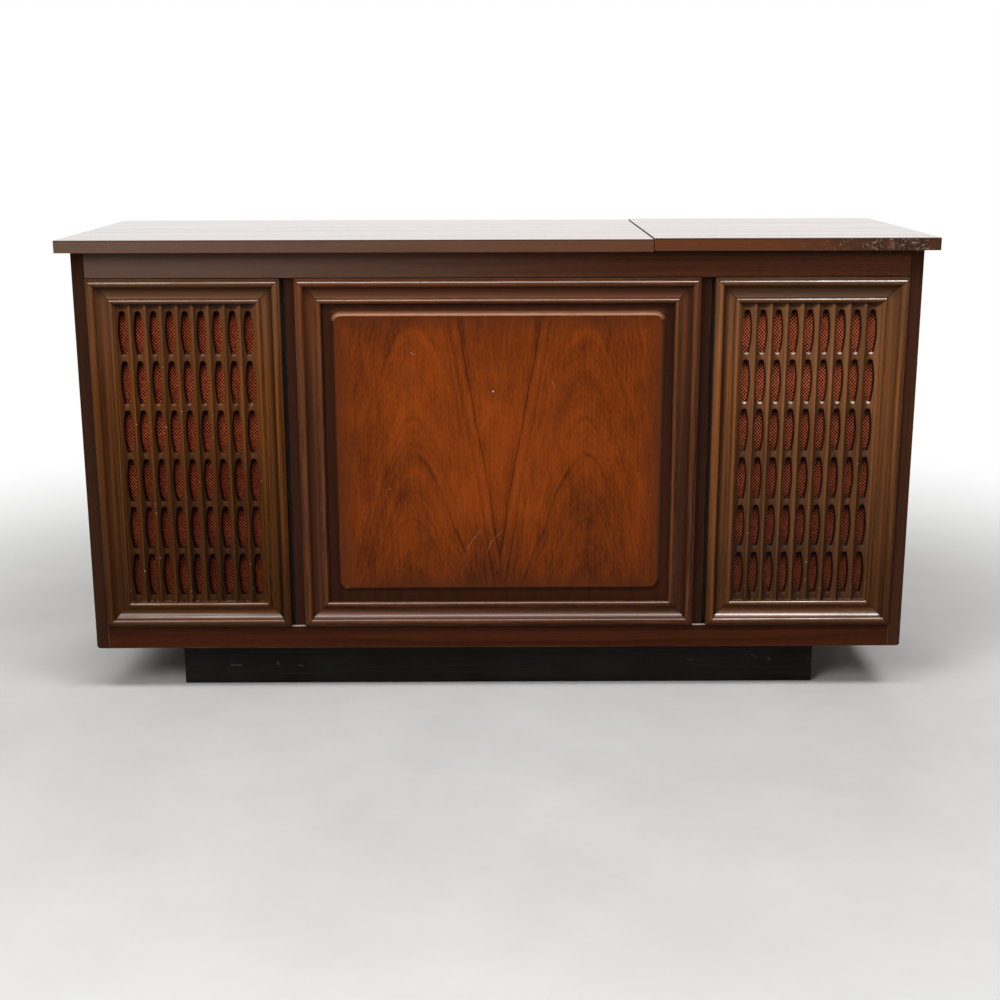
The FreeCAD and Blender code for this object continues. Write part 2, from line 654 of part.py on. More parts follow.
def moulding_face(place):
    """The moulding section, placed by a function of inward distance and height above its back."""
    bead_base = MOULDING_DEPTH - BEAD_HEIGHT
    shoulder = bead_base + SHOULDER_RISE
    bead_end = SHOULDER_WIDTH + BEAD_WIDTH
    inner_end = MOULDING_WIDTH - INNER_LIP
    inner_start = inner_end - INNER_BEAD_WIDTH
    cove_end = inner_start - INNER_STEP_WIDTH
    cove_start_level = bead_base - BEAD_QUIRK
    run = cove_end - bead_end
    drop = cove_start_level - COVE_LEVEL
    chord = math.hypot(run, drop)
    cove_mid_u = bead_end + run / 2 - COVE_SAG * drop / chord
    cove_mid_h = COVE_LEVEL + drop / 2 - COVE_SAG * run / chord
    round_off = SHOULDER_ROUND * (1 - math.sqrt(0.5))
    edges = []

    def line(a, b):
        edges.append(Part.makeLine(place(*a), place(*b)))

    def arc(a, b, c):
        edges.append(Part.Arc(place(*a), place(*b), place(*c)).toShape())

    line((0, 0), (0, shoulder - SHOULDER_ROUND))
    arc((0, shoulder - SHOULDER_ROUND), (round_off, shoulder - round_off), (SHOULDER_ROUND, shoulder))
    line((SHOULDER_ROUND, shoulder), (SHOULDER_WIDTH, shoulder))
    line((SHOULDER_WIDTH, shoulder), (SHOULDER_WIDTH, bead_base))
    arc((SHOULDER_WIDTH, bead_base), (SHOULDER_WIDTH + BEAD_WIDTH / 2, MOULDING_DEPTH), (bead_end, bead_base))
    line((bead_end, bead_base), (bead_end, cove_start_level))
    arc((bead_end, cove_start_level), (cove_mid_u, cove_mid_h), (cove_end, COVE_LEVEL))
    line((cove_end, COVE_LEVEL), (cove_end, INNER_STEP_LEVEL))
    line((cove_end, INNER_STEP_LEVEL), (inner_start, INNER_STEP_LEVEL))
    crest = (inner_start + INNER_BEAD_WIDTH / 2, INNER_STEP_LEVEL + INNER_BEAD_HEIGHT)
    arc((inner_start, INNER_STEP_LEVEL), crest, (inner_end, INNER_STEP_LEVEL))
    line((inner_end, INNER_STEP_LEVEL), (MOULDING_WIDTH, INNER_STEP_LEVEL))
    line((MOULDING_WIDTH, INNER_STEP_LEVEL), (MOULDING_WIDTH, 0))
    line((MOULDING_WIDTH, 0), (0, 0))
    return Part.Face(Part.Wire(edges))


def moulding_frame(left, right, low, high):
    """Four mitred lengths of moulding round an opening."""
    width = MOULDING_WIDTH
    inside_left = left + width
    inside_right = right - width
    inside_low = low + width
    inside_high = high - width

    def length(place, travel, corners):
        bar = moulding_face(place).extrude(travel)
        points = [FreeCAD.Vector(x, SEAT_Y, z) for x, z in corners]
        wedge = prism(points, BACK * -MOULDING_DEPTH)
        return bar.common(wedge).Solids[0]

    across = RIGHT * (right - left)
    upward = UP * (high - low)
    bottom_corners = [(left, low), (right, low), (inside_right, inside_low), (inside_left, inside_low)]
    top_corners = [(left, high), (right, high), (inside_right, inside_high), (inside_left, inside_high)]
    left_corners = [(left, low), (left, high), (inside_left, inside_high), (inside_left, inside_low)]
    right_corners = [(right, low), (right, high), (inside_right, inside_high), (inside_right, inside_low)]
    bottom = length(lambda u, h: FreeCAD.Vector(left, SEAT_Y - h, low + u), across, bottom_corners)
    top = length(lambda u, h: FreeCAD.Vector(left, SEAT_Y - h, high - u), across, top_corners)
    left_side = length(lambda u, h: FreeCAD.Vector(left + u, SEAT_Y - h, low), upward, left_corners)
    right_side = length(lambda u, h: FreeCAD.Vector(right - u, SEAT_Y - h, low), upward, right_corners)
    return [top, bottom, left_side, right_side]


def rounded_outline(half_x, low, high, y, radius):
    """A rounded rectangle in a plane that faces the front."""
    block = board((-half_x, half_x), (y, y + 1), (low, high))
    lying = [edge for edge in block.Edges if abs(edge.tangentAt(edge.FirstParameter).y) > 0.999]
    block = block.makeFillet(radius, lying)
    faces = [face for face in block.Faces if abs(face.CenterOfMass.y - y) < 0.001]
    return faces[0].OuterWire


def build_centre():
    save("centre_moulding", moulding_frame(-CENTRE_HALF, CENTRE_HALF, FRAME_LOW, FRAME_HIGH))
    backing = board((-CENTRE_HALF, CENTRE_HALF), (SEAT_Y, WALL_Y), (OPENING_LOW, OPENING_HIGH))
    half = CENTRE_HALF - MOULDING_WIDTH
    low = FRAME_LOW + MOULDING_WIDTH
    high = FRAME_HIGH - MOULDING_WIDTH
    border_y = SEAT_Y - PANEL_BORDER_LEVEL
    border = board((-half, half), (border_y, SEAT_Y), (low, high))
    foot_low = low + FIELD_MARGIN_LOW
    foot = rounded_outline(half - FIELD_MARGIN, foot_low, high - FIELD_MARGIN, border_y, FIELD_CORNER)
    inset = FIELD_MARGIN + FIELD_BEVEL
    crown_low = foot_low + FIELD_BEVEL
    crown_corner = FIELD_CORNER - FIELD_BEVEL
    crown = rounded_outline(half - inset, crown_low, high - inset, border_y - FIELD_RAISE, crown_corner)
    field = Part.makeLoft([foot, crown], True, True)
    save("centre_panel", [joined(backing, [border, field])])


def hole_outline(x, z, y, half_length, growth):
    """A long oval hole with full tips, in a plane that faces the front."""
    side = HOLE_HALF_WIDTH + growth
    tip = HOLE_TIP_HALF_WIDTH + growth
    end = half_length + growth
    shoulder = half_length - HOLE_TIP_HEIGHT

    def point(across, along):
        return FreeCAD.Vector(x + across, y, z + along)

    right = Part.Arc(point(tip, -shoulder), point(side, 0), point(tip, shoulder)).toShape()
    top = Part.Arc(point(tip, shoulder), point(0, end), point(-tip, shoulder)).toShape()
    left = Part.Arc(point(-tip, shoulder), point(-side, 0), point(-tip, -shoulder)).toShape()
    bottom = Part.Arc(point(-tip, -shoulder), point(0, -end), point(tip, -shoulder)).toShape()
    return Part.Wire([right, top, left, bottom])


def grille_panel(middle):
    """A fluted panel with one column of long holes in each flute."""
    low = FRAME_LOW + MOULDING_WIDTH
    high = FRAME_HIGH - MOULDING_WIDTH
    left = middle - GRILLE_WIDTH / 2
    ridge_y = SEAT_Y - RIDGE_LEVEL
    valley_y = ridge_y + FLUTE_DEPTH
    edges = []
    here = FreeCAD.Vector(left, SEAT_Y, low)

    def line_to(x, y):
        target = FreeCAD.Vector(x, y, low)
        edges.append(Part.makeLine(here, target))
        return target

    here = line_to(left, ridge_y)
    for column in range(GRILLE_COLUMNS):
        start = left + column * COLUMN_PITCH
        here = line_to(start + RIDGE_FLAT / 2, ridge_y)
        valley = FreeCAD.Vector(start + COLUMN_PITCH / 2, valley_y, low)
        end = FreeCAD.Vector(start + COLUMN_PITCH - RIDGE_FLAT / 2, ridge_y, low)
        edges.append(Part.Arc(here, valley, end).toShape())
        here = end
    here = line_to(left + GRILLE_WIDTH, ridge_y)
    here = line_to(left + GRILLE_WIDTH, SEAT_Y)
    here = line_to(left, SEAT_Y)
    slab = Part.Face(Part.Wire(edges)).extrude(UP * (high - low))
    pitch = (high - low - 2 * HOLE_MARGIN + HOLE_BRIDGE) / GRILLE_ROWS
    half_length = (pitch - HOLE_BRIDGE) / 2
    holes = []
    for column in range(GRILLE_COLUMNS):
        x = left + (column + 0.5) * COLUMN_PITCH
        for row in range(GRILLE_ROWS):
            z = low + HOLE_MARGIN + half_length + row * pitch
            front = hole_outline(x, z, ridge_y, half_length, 0)
            rear = hole_outline(x, z, SEAT_Y, half_length, -HOLE_DRAFT)
            holes.append(Part.makeLoft([front, rear], True, True))
    return trimmed(slab, holes)


def build_speaker_fronts():
    for side, sign in (("left", -1), ("right", 1)):
        edges = sorted((sign * GRILLE_IN, sign * GRILLE_OUT))
        middle = sign * GRILLE_MID
        save(side + "_grille_moulding", moulding_frame(edges[0], edges[1], FRAME_LOW, FRAME_HIGH))
        save(side + "_grille", [grille_panel(middle)])
        cloth_x = (edges[0] + CLOTH_MARGIN, edges[1] - CLOTH_MARGIN)
        cloth_z = (FRAME_LOW + CLOTH_MARGIN, FRAME_HIGH - CLOTH_MARGIN)
        save(side + "_grille_cloth", [board(cloth_x, (SEAT_Y, BAFFLE_Y), cloth_z)])
        baffle_x = sorted((sign * STILE_OUT, sign * SIDE_IN))
        baffle = board(baffle_x, (BAFFLE_Y, WALL_Y), (OPENING_LOW, OPENING_HIGH))
        woofer_hole = rod((middle, BAFFLE_Y, WOOFER_Z), WOOFER_CONE_RADIUS, BAFFLE_THICKNESS, BACK)
        tweeter_hole = rod((middle, BAFFLE_Y, TWEETER_Z), TWEETER_CONE_RADIUS, BAFFLE_THICKNESS, BACK)
        save(side + "_baffle", [trimmed(baffle, [woofer_hole, tweeter_hole])])


def build_loudspeakers():
    rim = (WOOFER_RADIUS + WOOFER_CONE_RADIUS) / 2
    cone = [
        (rim, 0),
        (WOOFER_CONE_RADIUS, 0),
        (WOOFER_NECK_RADIUS, WOOFER_CONE_DEPTH),
        (0, WOOFER_CONE_DEPTH - DUST_CAP_HEIGHT),
        (0, WOOFER_CONE_DEPTH - DUST_CAP_HEIGHT + PAPER_THICKNESS),
        (WOOFER_NECK_RADIUS, WOOFER_CONE_DEPTH + PAPER_THICKNESS),
        (WOOFER_CONE_RADIUS, PAPER_THICKNESS),
        (rim, PAPER_THICKNESS),
    ]
    flange = PAPER_THICKNESS + BASKET_WALL
    basket_end = WOOFER_BASKET_DEPTH + BASKET_WALL
    basket = [
        (WOOFER_RADIUS, PAPER_THICKNESS),
        (WOOFER_CONE_RADIUS + PAPER_THICKNESS, PAPER_THICKNESS),
        (WOOFER_MAGNET_RADIUS, WOOFER_BASKET_DEPTH),
        (0, WOOFER_BASKET_DEPTH),
        (0, basket_end),
        (WOOFER_MAGNET_RADIUS + BASKET_WALL, basket_end),
        (WOOFER_CONE_RADIUS + PAPER_THICKNESS + BASKET_WALL, flange),
        (WOOFER_RADIUS, flange),
    ]
    tweeter = [
        (TWEETER_RADIUS, 0),
        (TWEETER_CONE_RADIUS, 0),
        (TWEETER_CONE_DEPTH, TWEETER_CONE_DEPTH),
        (0, TWEETER_CONE_DEPTH - TWEETER_FLANGE),
        (0, TWEETER_DEPTH),
        (TWEETER_BODY_RADIUS, TWEETER_DEPTH),
        (TWEETER_BODY_RADIUS, TWEETER_FLANGE),
        (TWEETER_RADIUS, TWEETER_FLANGE),
    ]
    tweeters = []
    for side, sign in (("left", -1), ("right", 1)):
        origin = (sign * GRILLE_MID, WALL_Y, WOOFER_Z)
        save(side + "_woofer_cone", [turned(cone, origin, BACK)])
        magnet_start = (origin[0], WALL_Y + basket_end, WOOFER_Z)
        magnet = rod(magnet_start, WOOFER_MAGNET_RADIUS, WOOFER_MAGNET_LENGTH, BACK)
        save(side + "_woofer_basket", [turned(basket, origin, BACK), magnet])
        tweeters.append(turned(tweeter, (sign * GRILLE_MID, WALL_Y, TWEETER_Z), BACK))
    save("tweeters", tweeters)


def build_back():
    cover = board((-COVER_HALF, COVER_HALF), (COVER_Y, COVER_Y + COVER_THICKNESS), (COVER_LOW, COVER_HIGH))
    tools = screw_holes()
    span = VENT_PITCH_X * (VENT_COLUMNS - 1)
    for middle in (-GRILLE_MID, 0, GRILLE_MID):
        for column in range(VENT_COLUMNS):
            x = middle - span / 2 + column * VENT_PITCH_X
            for row in range(VENT_ROWS):
                z = FLOOR_TOP + VENT_RISE + row * VENT_PITCH_Z
                slot_x = (x - VENT_WIDTH / 2, x + VENT_WIDTH / 2)
                slot = board(slot_x, (COVER_Y, BACK_Y), (z, z + VENT_HEIGHT))
                rounded = [edge for edge in slot.Edges if abs(edge.tangentAt(edge.FirstParameter).y) > 0.999]
                tools.append(slot.makeFillet(VENT_HEIGHT * 0.45, rounded))
    half_width = TERMINAL_WIDTH / 2 - TERMINAL_LAP
    half_height = TERMINAL_HEIGHT / 2 - TERMINAL_LAP
    window_x = (PANEL_X - half_width, PANEL_X + half_width)
    window_z = (TERMINAL_Z - half_height, TERMINAL_Z + half_height)
    tools.append(board(window_x, (COVER_Y, BACK_Y), window_z))
    gland_x = PANEL_X - GLAND_OFFSET
    tools.append(rod((gland_x, COVER_Y, TERMINAL_Z), GLAND_RADIUS, COVER_THICKNESS, BACK))
    save("back_cover", [trimmed(cover, tools)])
    screws = []
    outside = COVER_Y + COVER_THICKNESS
    for x, z in screw_places():
        shank = rod((x, outside - SCREW_DEPTH, z), SCREW_SHANK_RADIUS, SCREW_DEPTH, BACK)
        head_outline = [
            (0, 0),
            (SCREW_HEAD_RADIUS, 0),
            (SCREW_HEAD_RADIUS * 0.8, SCREW_HEAD_HEIGHT * 0.7),
            (0, SCREW_HEAD_HEIGHT),
        ]
        screws.append(joined(shank, [turned(head_outline, (x, outside, z), BACK)]))
    save("back_cover_screws", screws)
    plate_x = (PANEL_X - TERMINAL_WIDTH / 2, PANEL_X + TERMINAL_WIDTH / 2)
    plate_z = (TERMINAL_Z - TERMINAL_HEIGHT / 2, TERMINAL_Z + TERMINAL_HEIGHT / 2)
    plate = board(plate_x, (COVER_Y - TERMINAL_THICKNESS, COVER_Y), plate_z)
    solids = [plate]
    first_jack = PANEL_X + half_width - JACK_PITCH / 2
    for pair in range(JACK_PAIRS):
        x = first_jack - pair * JACK_PITCH
        for z in (TERMINAL_Z - JACK_PITCH / 2, TERMINAL_Z + JACK_PITCH / 2):
            base = rod((x, COVER_Y, z), JACK_BASE_RADIUS, JACK_BASE_LENGTH, BACK)
            solids.append(joined(base, [rod((x, COVER_Y, z), JACK_RADIUS, JACK_LENGTH, BACK)]))
    first_screw = PANEL_X - half_width + AERIAL_PITCH / 2
    for step in range(AERIAL_SCREWS):
        x = first_screw + step * AERIAL_PITCH
        solids.append(rod((x, COVER_Y, TERMINAL_Z), AERIAL_RADIUS, AERIAL_LENGTH, BACK))
    neck = rod((gland_x, COVER_Y - GLAND_HEAD_LENGTH, TERMINAL_Z), GLAND_RADIUS,
               COVER_THICKNESS + 2 * GLAND_HEAD_LENGTH, BACK)
    collar = rod((gland_x, outside, TERMINAL_Z), GLAND_HEAD_RADIUS, GLAND_HEAD_LENGTH, BACK)
    bore = rod((gland_x, COVER_Y - GLAND_HEAD_LENGTH, TERMINAL_Z), GLAND_BORE,
               COVER_THICKNESS + 2 * GLAND_HEAD_LENGTH, BACK)
    solids.append(trimmed(joined(neck, [collar]), [bore]))
    save("terminal_plate", solids)


def build_deck():
    deck = board((-SIDE_IN, FIXED_LEFT), (WALL_Y, COVER_Y), (DECK_LOW, DECK_TOP))
    plate_x = (PLATE_LEFT + DECK_LEDGE, PLATE_RIGHT - DECK_LEDGE)
    plate_y = (PLATE_Y - PLATE_DEPTH / 2 + DECK_LEDGE, PLATE_Y + PLATE_DEPTH / 2 - DECK_LEDGE)
    panel_x = (PANEL_LEFT + DECK_LEDGE, PANEL_RIGHT - DECK_LEDGE)
    panel_y = (PANEL_FRONT + DECK_LEDGE, PANEL_BACK - DECK_LEDGE)
    cuts = [board(plate_x, plate_y, (DECK_LOW, DECK_TOP)), board(panel_x, panel_y, (DECK_LOW, DECK_TOP))]
    save("deck_board", [trimmed(deck, cuts)])
    tray_x = (panel_x[0] - CHASSIS_LIP, panel_x[1] + CHASSIS_LIP)
    tray_y = (panel_y[0] - CHASSIS_LIP, panel_y[1] + CHASSIS_LIP)
    tray_low = DECK_LOW - CHASSIS_DEPTH
    tray = board(tray_x, tray_y, (tray_low, DECK_LOW))
    hollow_x = (tray_x[0] + CHASSIS_WALL, tray_x[1] - CHASSIS_WALL)
    hollow_y = (tray_y[0] + CHASSIS_WALL, tray_y[1] - CHASSIS_WALL)
    tray_floor = tray_low + CHASSIS_WALL
    solids = [trimmed(tray, [board(hollow_x, hollow_y, (tray_floor, DECK_LOW))])]
    core_x = (hollow_x[0] + TRANSFORMER_INSET, hollow_x[0] + TRANSFORMER_INSET + TRANSFORMER_WIDTH)
    core_y = (hollow_y[1] - TRANSFORMER_INSET - TRANSFORMER_DEPTH, hollow_y[1] - TRANSFORMER_INSET)
    solids.append(board(core_x, core_y, (tray_floor, tray_floor + TRANSFORMER_HEIGHT)))
    sink_x = (hollow_x[1] - TRANSFORMER_INSET - SINK_WIDTH, hollow_x[1] - TRANSFORMER_INSET)
    sink_y = (hollow_y[1] - TRANSFORMER_INSET - SINK_DEPTH, hollow_y[1] - TRANSFORMER_INSET)
    sink = board(sink_x, sink_y, (tray_floor, tray_floor + SINK_BASE))
    fin_pitch = (SINK_WIDTH - SINK_FIN) / (SINK_FINS - 1)
    fins = []
    for step in range(SINK_FINS):
        left = sink_x[0] + step * fin_pitch
        fins.append(board((left, left + SINK_FIN), sink_y, (tray_floor, tray_floor + SINK_HEIGHT)))
    solids.append(joined(sink, fins))
    for x, y in KNOB_PLACES.values():
        body = rod((x, y, DECK_TOP - POT_HEIGHT), POT_RADIUS, POT_HEIGHT, UP)
        bore = rod((x, y, DECK_TOP - POT_HEIGHT), SHAFT_RADIUS + RUN_FIT, POT_HEIGHT, UP)
        solids.append(trimmed(body, [bore]))
    save("amplifier_chassis", solids)


def build_changer():
    plate_x = (PLATE_LEFT, PLATE_RIGHT)
    plate_y = (PLATE_Y - PLATE_DEPTH / 2, PLATE_Y + PLATE_DEPTH / 2)
    plate = board(plate_x, plate_y, (DECK_TOP, PLATE_TOP))
    plate = plate.makeFillet(PLATE_CORNER, upright_edges(plate))
    axle_height = IDLER_RISE + IDLER_THICKNESS + PLATE_THICKNESS
    plate = joined(plate, [rod((IDLER_X, IDLER_Y, DECK_TOP), IDLER_AXLE_RADIUS, axle_height, UP)])
    bores = [
        (PLATTER_X, PLATTER_Y, SPINDLE_RADIUS),
        (PULLEY_X, PULLEY_Y, MOTOR_HOLE_RADIUS),
        (TURRET_X, TURRET_Y, SPIGOT_RADIUS + RUN_FIT),
        (STEADY_POST_X, STEADY_POST_Y, POST_RADIUS + RUN_FIT),
        (START_LEVER_X, LEVER_Y, LEVER_SPIGOT_RADIUS + RUN_FIT),
        (SPEED_LEVER_X, LEVER_Y, LEVER_SPIGOT_RADIUS + RUN_FIT),
    ]
    tools = [rod((x, y, DECK_TOP), radius, PLATE_THICKNESS, UP) for x, y, radius in bores]
    save("changer_plate", [trimmed(plate, tools)])
    motor = rod((PULLEY_X, PULLEY_Y, DECK_TOP - MOTOR_LENGTH), MOTOR_RADIUS, MOTOR_LENGTH, UP)
    shaft_start = DECK_TOP - MOTOR_SHAFT_DEPTH
    shaft_bore = rod((PULLEY_X, PULLEY_Y, shaft_start), MOTOR_SHAFT_RADIUS + RUN_FIT, MOTOR_SHAFT_DEPTH, UP)
    save("changer_motor", [trimmed(motor, [shaft_bore])])
    shaft_end = IDLER_Z + IDLER_THICKNESS - PULLEY_STEP_HEIGHT
    pulley = rod((PULLEY_X, PULLEY_Y, shaft_start), MOTOR_SHAFT_RADIUS, shaft_end - shaft_start, UP)
    drum_start = IDLER_Z - SEAT_GAP
    drum = rod((PULLEY_X, PULLEY_Y, drum_start), PULLEY_RADIUS, IDLER_THICKNESS + 2 * SEAT_GAP, UP)
    step_start = drum_start - PULLEY_STEP_HEIGHT
    step = rod((PULLEY_X, PULLEY_Y, step_start), PULLEY_RADIUS + PULLEY_STEP, PULLEY_STEP_HEIGHT, UP)
    save("motor_pulley", [joined(pulley, [drum, step])])
    wheel = rod((IDLER_X, IDLER_Y, IDLER_Z), IDLER_RADIUS, IDLER_THICKNESS, UP)
    wheel_bore = rod((IDLER_X, IDLER_Y, IDLER_Z), IDLER_AXLE_RADIUS + RUN_FIT, IDLER_THICKNESS, UP)
    save("idler_wheel", [trimmed(wheel, [wheel_bore])])
    centre = (PLATTER_X, PLATTER_Y, PLATTER_Z)
    bore_radius = SPINDLE_RADIUS + RUN_FIT
    under = PLATTER_HEIGHT - PLATTER_SKIN
    rim_inner = PLATTER_RADIUS - PLATTER_RIM
    platter = [
        (bore_radius, 0),
        (PLATTER_HUB_RADIUS, 0),
        (PLATTER_HUB_RADIUS, under),
        (rim_inner, under),
        (rim_inner, 0),
        (PLATTER_RADIUS, 0),
        (PLATTER_RADIUS, PLATTER_HEIGHT - PLATTER_ROUND),
        (PLATTER_RADIUS - PLATTER_ROUND, PLATTER_HEIGHT),
        (bore_radius, PLATTER_HEIGHT),
    ]
    save("platter", [turned(platter, centre, UP)])
    mat_radius = PLATTER_RADIUS - MAT_MARGIN
    mat = [(SPINDLE_RADIUS + LOOSE_FIT, 0), (mat_radius, 0), (mat_radius, MAT_THICKNESS)]
    groove_pitch = (mat_radius - PLATTER_HUB_RADIUS) / (MAT_GROOVES + 1)
    for groove in range(MAT_GROOVES):
        middle = mat_radius - (groove + 1) * groove_pitch
        mat.append((middle + MAT_GROOVE_WIDTH / 2, MAT_THICKNESS))
        mat.append((middle + MAT_GROOVE_WIDTH / 2, MAT_THICKNESS - MAT_GROOVE_DEPTH))
        mat.append((middle - MAT_GROOVE_WIDTH / 2, MAT_THICKNESS - MAT_GROOVE_DEPTH))
        mat.append((middle - MAT_GROOVE_WIDTH / 2, MAT_THICKNESS))
    mat.append((SPINDLE_RADIUS + LOOSE_FIT, MAT_THICKNESS))
    save("platter_mat", [turned(mat, (PLATTER_X, PLATTER_Y, PLATTER_TOP), UP)])
    tail = DECK_TOP - SPINDLE_TAIL
    spindle = [
        (0, 0),
        (SPINDLE_RADIUS, 0),
        (SPINDLE_RADIUS, PLATE_TOP - tail),
        (SPINDLE_COLLAR_RADIUS, PLATE_TOP - tail),
        (SPINDLE_COLLAR_RADIUS, PLATE_TOP + SPINDLE_COLLAR_HEIGHT - tail),
        (SPINDLE_RADIUS, PLATE_TOP + SPINDLE_COLLAR_HEIGHT - tail),
        (SPINDLE_RADIUS, SPINDLE_TOP - SPINDLE_TIP - tail),
        (SPINDLE_RADIUS / 2, SPINDLE_TOP - tail),
        (0, SPINDLE_TOP - tail),
    ]
    save("spindle", [turned(spindle, (PLATTER_X, PLATTER_Y, tail), UP)])


def build_tonearm():
    spigot_start = PLATE_TOP - SPIGOT_LENGTH
    turret = rod((TURRET_X, TURRET_Y, TURRET_Z), TURRET_RADIUS, TURRET_HEIGHT, UP)
    pieces = [rod((TURRET_X, TURRET_Y, spigot_start), SPIGOT_RADIUS, SPIGOT_LENGTH + SEAT_GAP, UP)]
    ear_y = (TURRET_Y - YOKE_WIDTH / 2, TURRET_Y + YOKE_WIDTH / 2)
    ear_z = (TURRET_Z + TURRET_HEIGHT - YOKE_EAR, ARM_Z + YOKE_OVER_AXIS)
    outer = YOKE_GAP / 2 + YOKE_EAR
    for left in (-outer, YOKE_GAP / 2):
        pieces.append(board((TURRET_X + left, TURRET_X + left + YOKE_EAR), ear_y, ear_z))
    pin_start = TURRET_X - outer
    bore = rod((pin_start, TURRET_Y, ARM_Z), ARM_PIN_RADIUS + RUN_FIT, 2 * outer, RIGHT)
    save("tonearm_pivot", [trimmed(joined(turret, pieces), [bore])])
    block_x = (TURRET_X - ARM_BLOCK_WIDTH / 2, TURRET_X + ARM_BLOCK_WIDTH / 2)
    block_y = (TURRET_Y - ARM_BLOCK_LENGTH / 2, TURRET_Y + ARM_BLOCK_LENGTH / 2)
    block = board(block_x, block_y, (ARM_Z - ARM_BLOCK_HEIGHT / 2, ARM_Z + ARM_BLOCK_HEIGHT / 2))
    tube_start = TURRET_Y - ARM_REACH
    tube = rod((TURRET_X, tube_start, ARM_Z), ARM_TUBE_RADIUS, ARM_REACH + ARM_TAIL, BACK)
    weight = rod((TURRET_X, TURRET_Y + ARM_TAIL, ARM_Z), WEIGHT_RADIUS, WEIGHT_LENGTH, BACK)
    pin = rod((pin_start, TURRET_Y, ARM_Z), ARM_PIN_RADIUS, 2 * outer, RIGHT)
    save("tonearm", [joined(block, [tube, weight, pin])])
    shell_x = (TURRET_X - SHELL_WIDTH / 2, TURRET_X + SHELL_WIDTH / 2)
    shell_y = (tube_start - SHELL_LENGTH, tube_start)
    shell_z = (ARM_Z - SHELL_HEIGHT / 2, ARM_Z + SHELL_HEIGHT / 2)
    shell = board(shell_x, shell_y, shell_z)
    nose = edges_where(shell, lambda m: m.y < shell_y[0] + 1 and abs(m.z - ARM_Z) < 1)
    shell = shell.makeFillet(SHELL_NOSE, nose)
    cartridge_x = (TURRET_X - CARTRIDGE_WIDTH / 2, TURRET_X + CARTRIDGE_WIDTH / 2)
    cartridge_y = (shell_y[0] + SHELL_NOSE, shell_y[0] + SHELL_NOSE + CARTRIDGE_LENGTH)
    cartridge_low = shell_z[0] - CARTRIDGE_HEIGHT
    cartridge = board(cartridge_x, cartridge_y, (cartridge_low, ARM_Z))
    stylus_start = cartridge_low - STYLUS_HEIGHT
    stylus_y = cartridge_y[0] + SHELL_NOSE
    stylus = rod((TURRET_X, stylus_y, stylus_start), STYLUS_RADIUS, STYLUS_HEIGHT + 1, UP)
    finger_x = (shell_x[1] - 1, shell_x[1] + FINGER_LENGTH)
    finger_y = (cartridge_y[0], cartridge_y[0] + FINGER_WIDTH)
    finger = board(finger_x, finger_y, (ARM_Z, ARM_Z + FINGER_THICKNESS))
    save("cartridge_head", [joined(shell, [cartridge, stylus, finger])])
    rest_y = PLATE_Y + REST_Y
    rest_top = ARM_Z - ARM_TUBE_RADIUS - SEAT_GAP
    post = rod((TURRET_X, rest_y, PLATE_TOP), REST_RADIUS, rest_top - PLATE_TOP, UP)
    cradle_x = (TURRET_X - REST_BLOCK / 2, TURRET_X + REST_BLOCK / 2)
    cradle_y = (rest_y - REST_BLOCK / 2, rest_y + REST_BLOCK / 2)
    cradle = board(cradle_x, cradle_y, (rest_top - REST_LIP, rest_top))
    lip_left = TURRET_X + ARM_TUBE_RADIUS + SEAT_GAP
    lip = board((lip_left, lip_left + REST_LIP), cradle_y, (rest_top - REST_LIP, rest_top + REST_LIP_HEIGHT))
    save("arm_rest", [joined(post, [cradle, lip])])


def build_steadying_arm():
    hub_low = STEADY_Z
    post = rod((STEADY_POST_X, STEADY_POST_Y, PLATE_TOP - POST_TAIL), POST_RADIUS,
               hub_low + STEADY_HUB_HEIGHT - PLATE_TOP + POST_TAIL, UP)
    collar_start = hub_low - SEAT_GAP - POST_COLLAR_HEIGHT
    collar = rod((STEADY_POST_X, STEADY_POST_Y, collar_start), POST_COLLAR_RADIUS, POST_COLLAR_HEIGHT, UP)
    foot = rod((STEADY_POST_X, STEADY_POST_Y, PLATE_TOP + SEAT_GAP), POST_COLLAR_RADIUS, POST_COLLAR_HEIGHT, UP)
    save("overarm_post", [joined(post, [collar, foot])])
    reach = math.hypot(PLATTER_X - STEADY_POST_X, PLATTER_Y - STEADY_POST_Y) + STEADY_PAST_SPINDLE
    heading = math.degrees(math.atan2(PLATTER_Y - STEADY_POST_Y, PLATTER_X - STEADY_POST_X))
    hub = rod((0, 0, 0), STEADY_HUB_RADIUS, STEADY_HUB_HEIGHT, UP)
    blade = board((0, reach), (-STEADY_WIDTH / 2, STEADY_WIDTH / 2), (0, STEADY_THICKNESS))
    tip = edges_where(blade, lambda m: m.x > reach - 1 and abs(m.z - STEADY_THICKNESS / 2) < 0.1)
    blade = blade.makeFillet(STEADY_WIDTH * 0.45, tip)
    bore = rod((0, 0, 0), POST_RADIUS + RUN_FIT, STEADY_HUB_HEIGHT, UP)
    arm = trimmed(joined(hub, [blade]), [bore])
    arm.rotate(FreeCAD.Vector(0, 0, 0), UP, heading)
    arm.translate(FreeCAD.Vector(STEADY_POST_X, STEADY_POST_Y, hub_low))
    save("overarm", [arm])


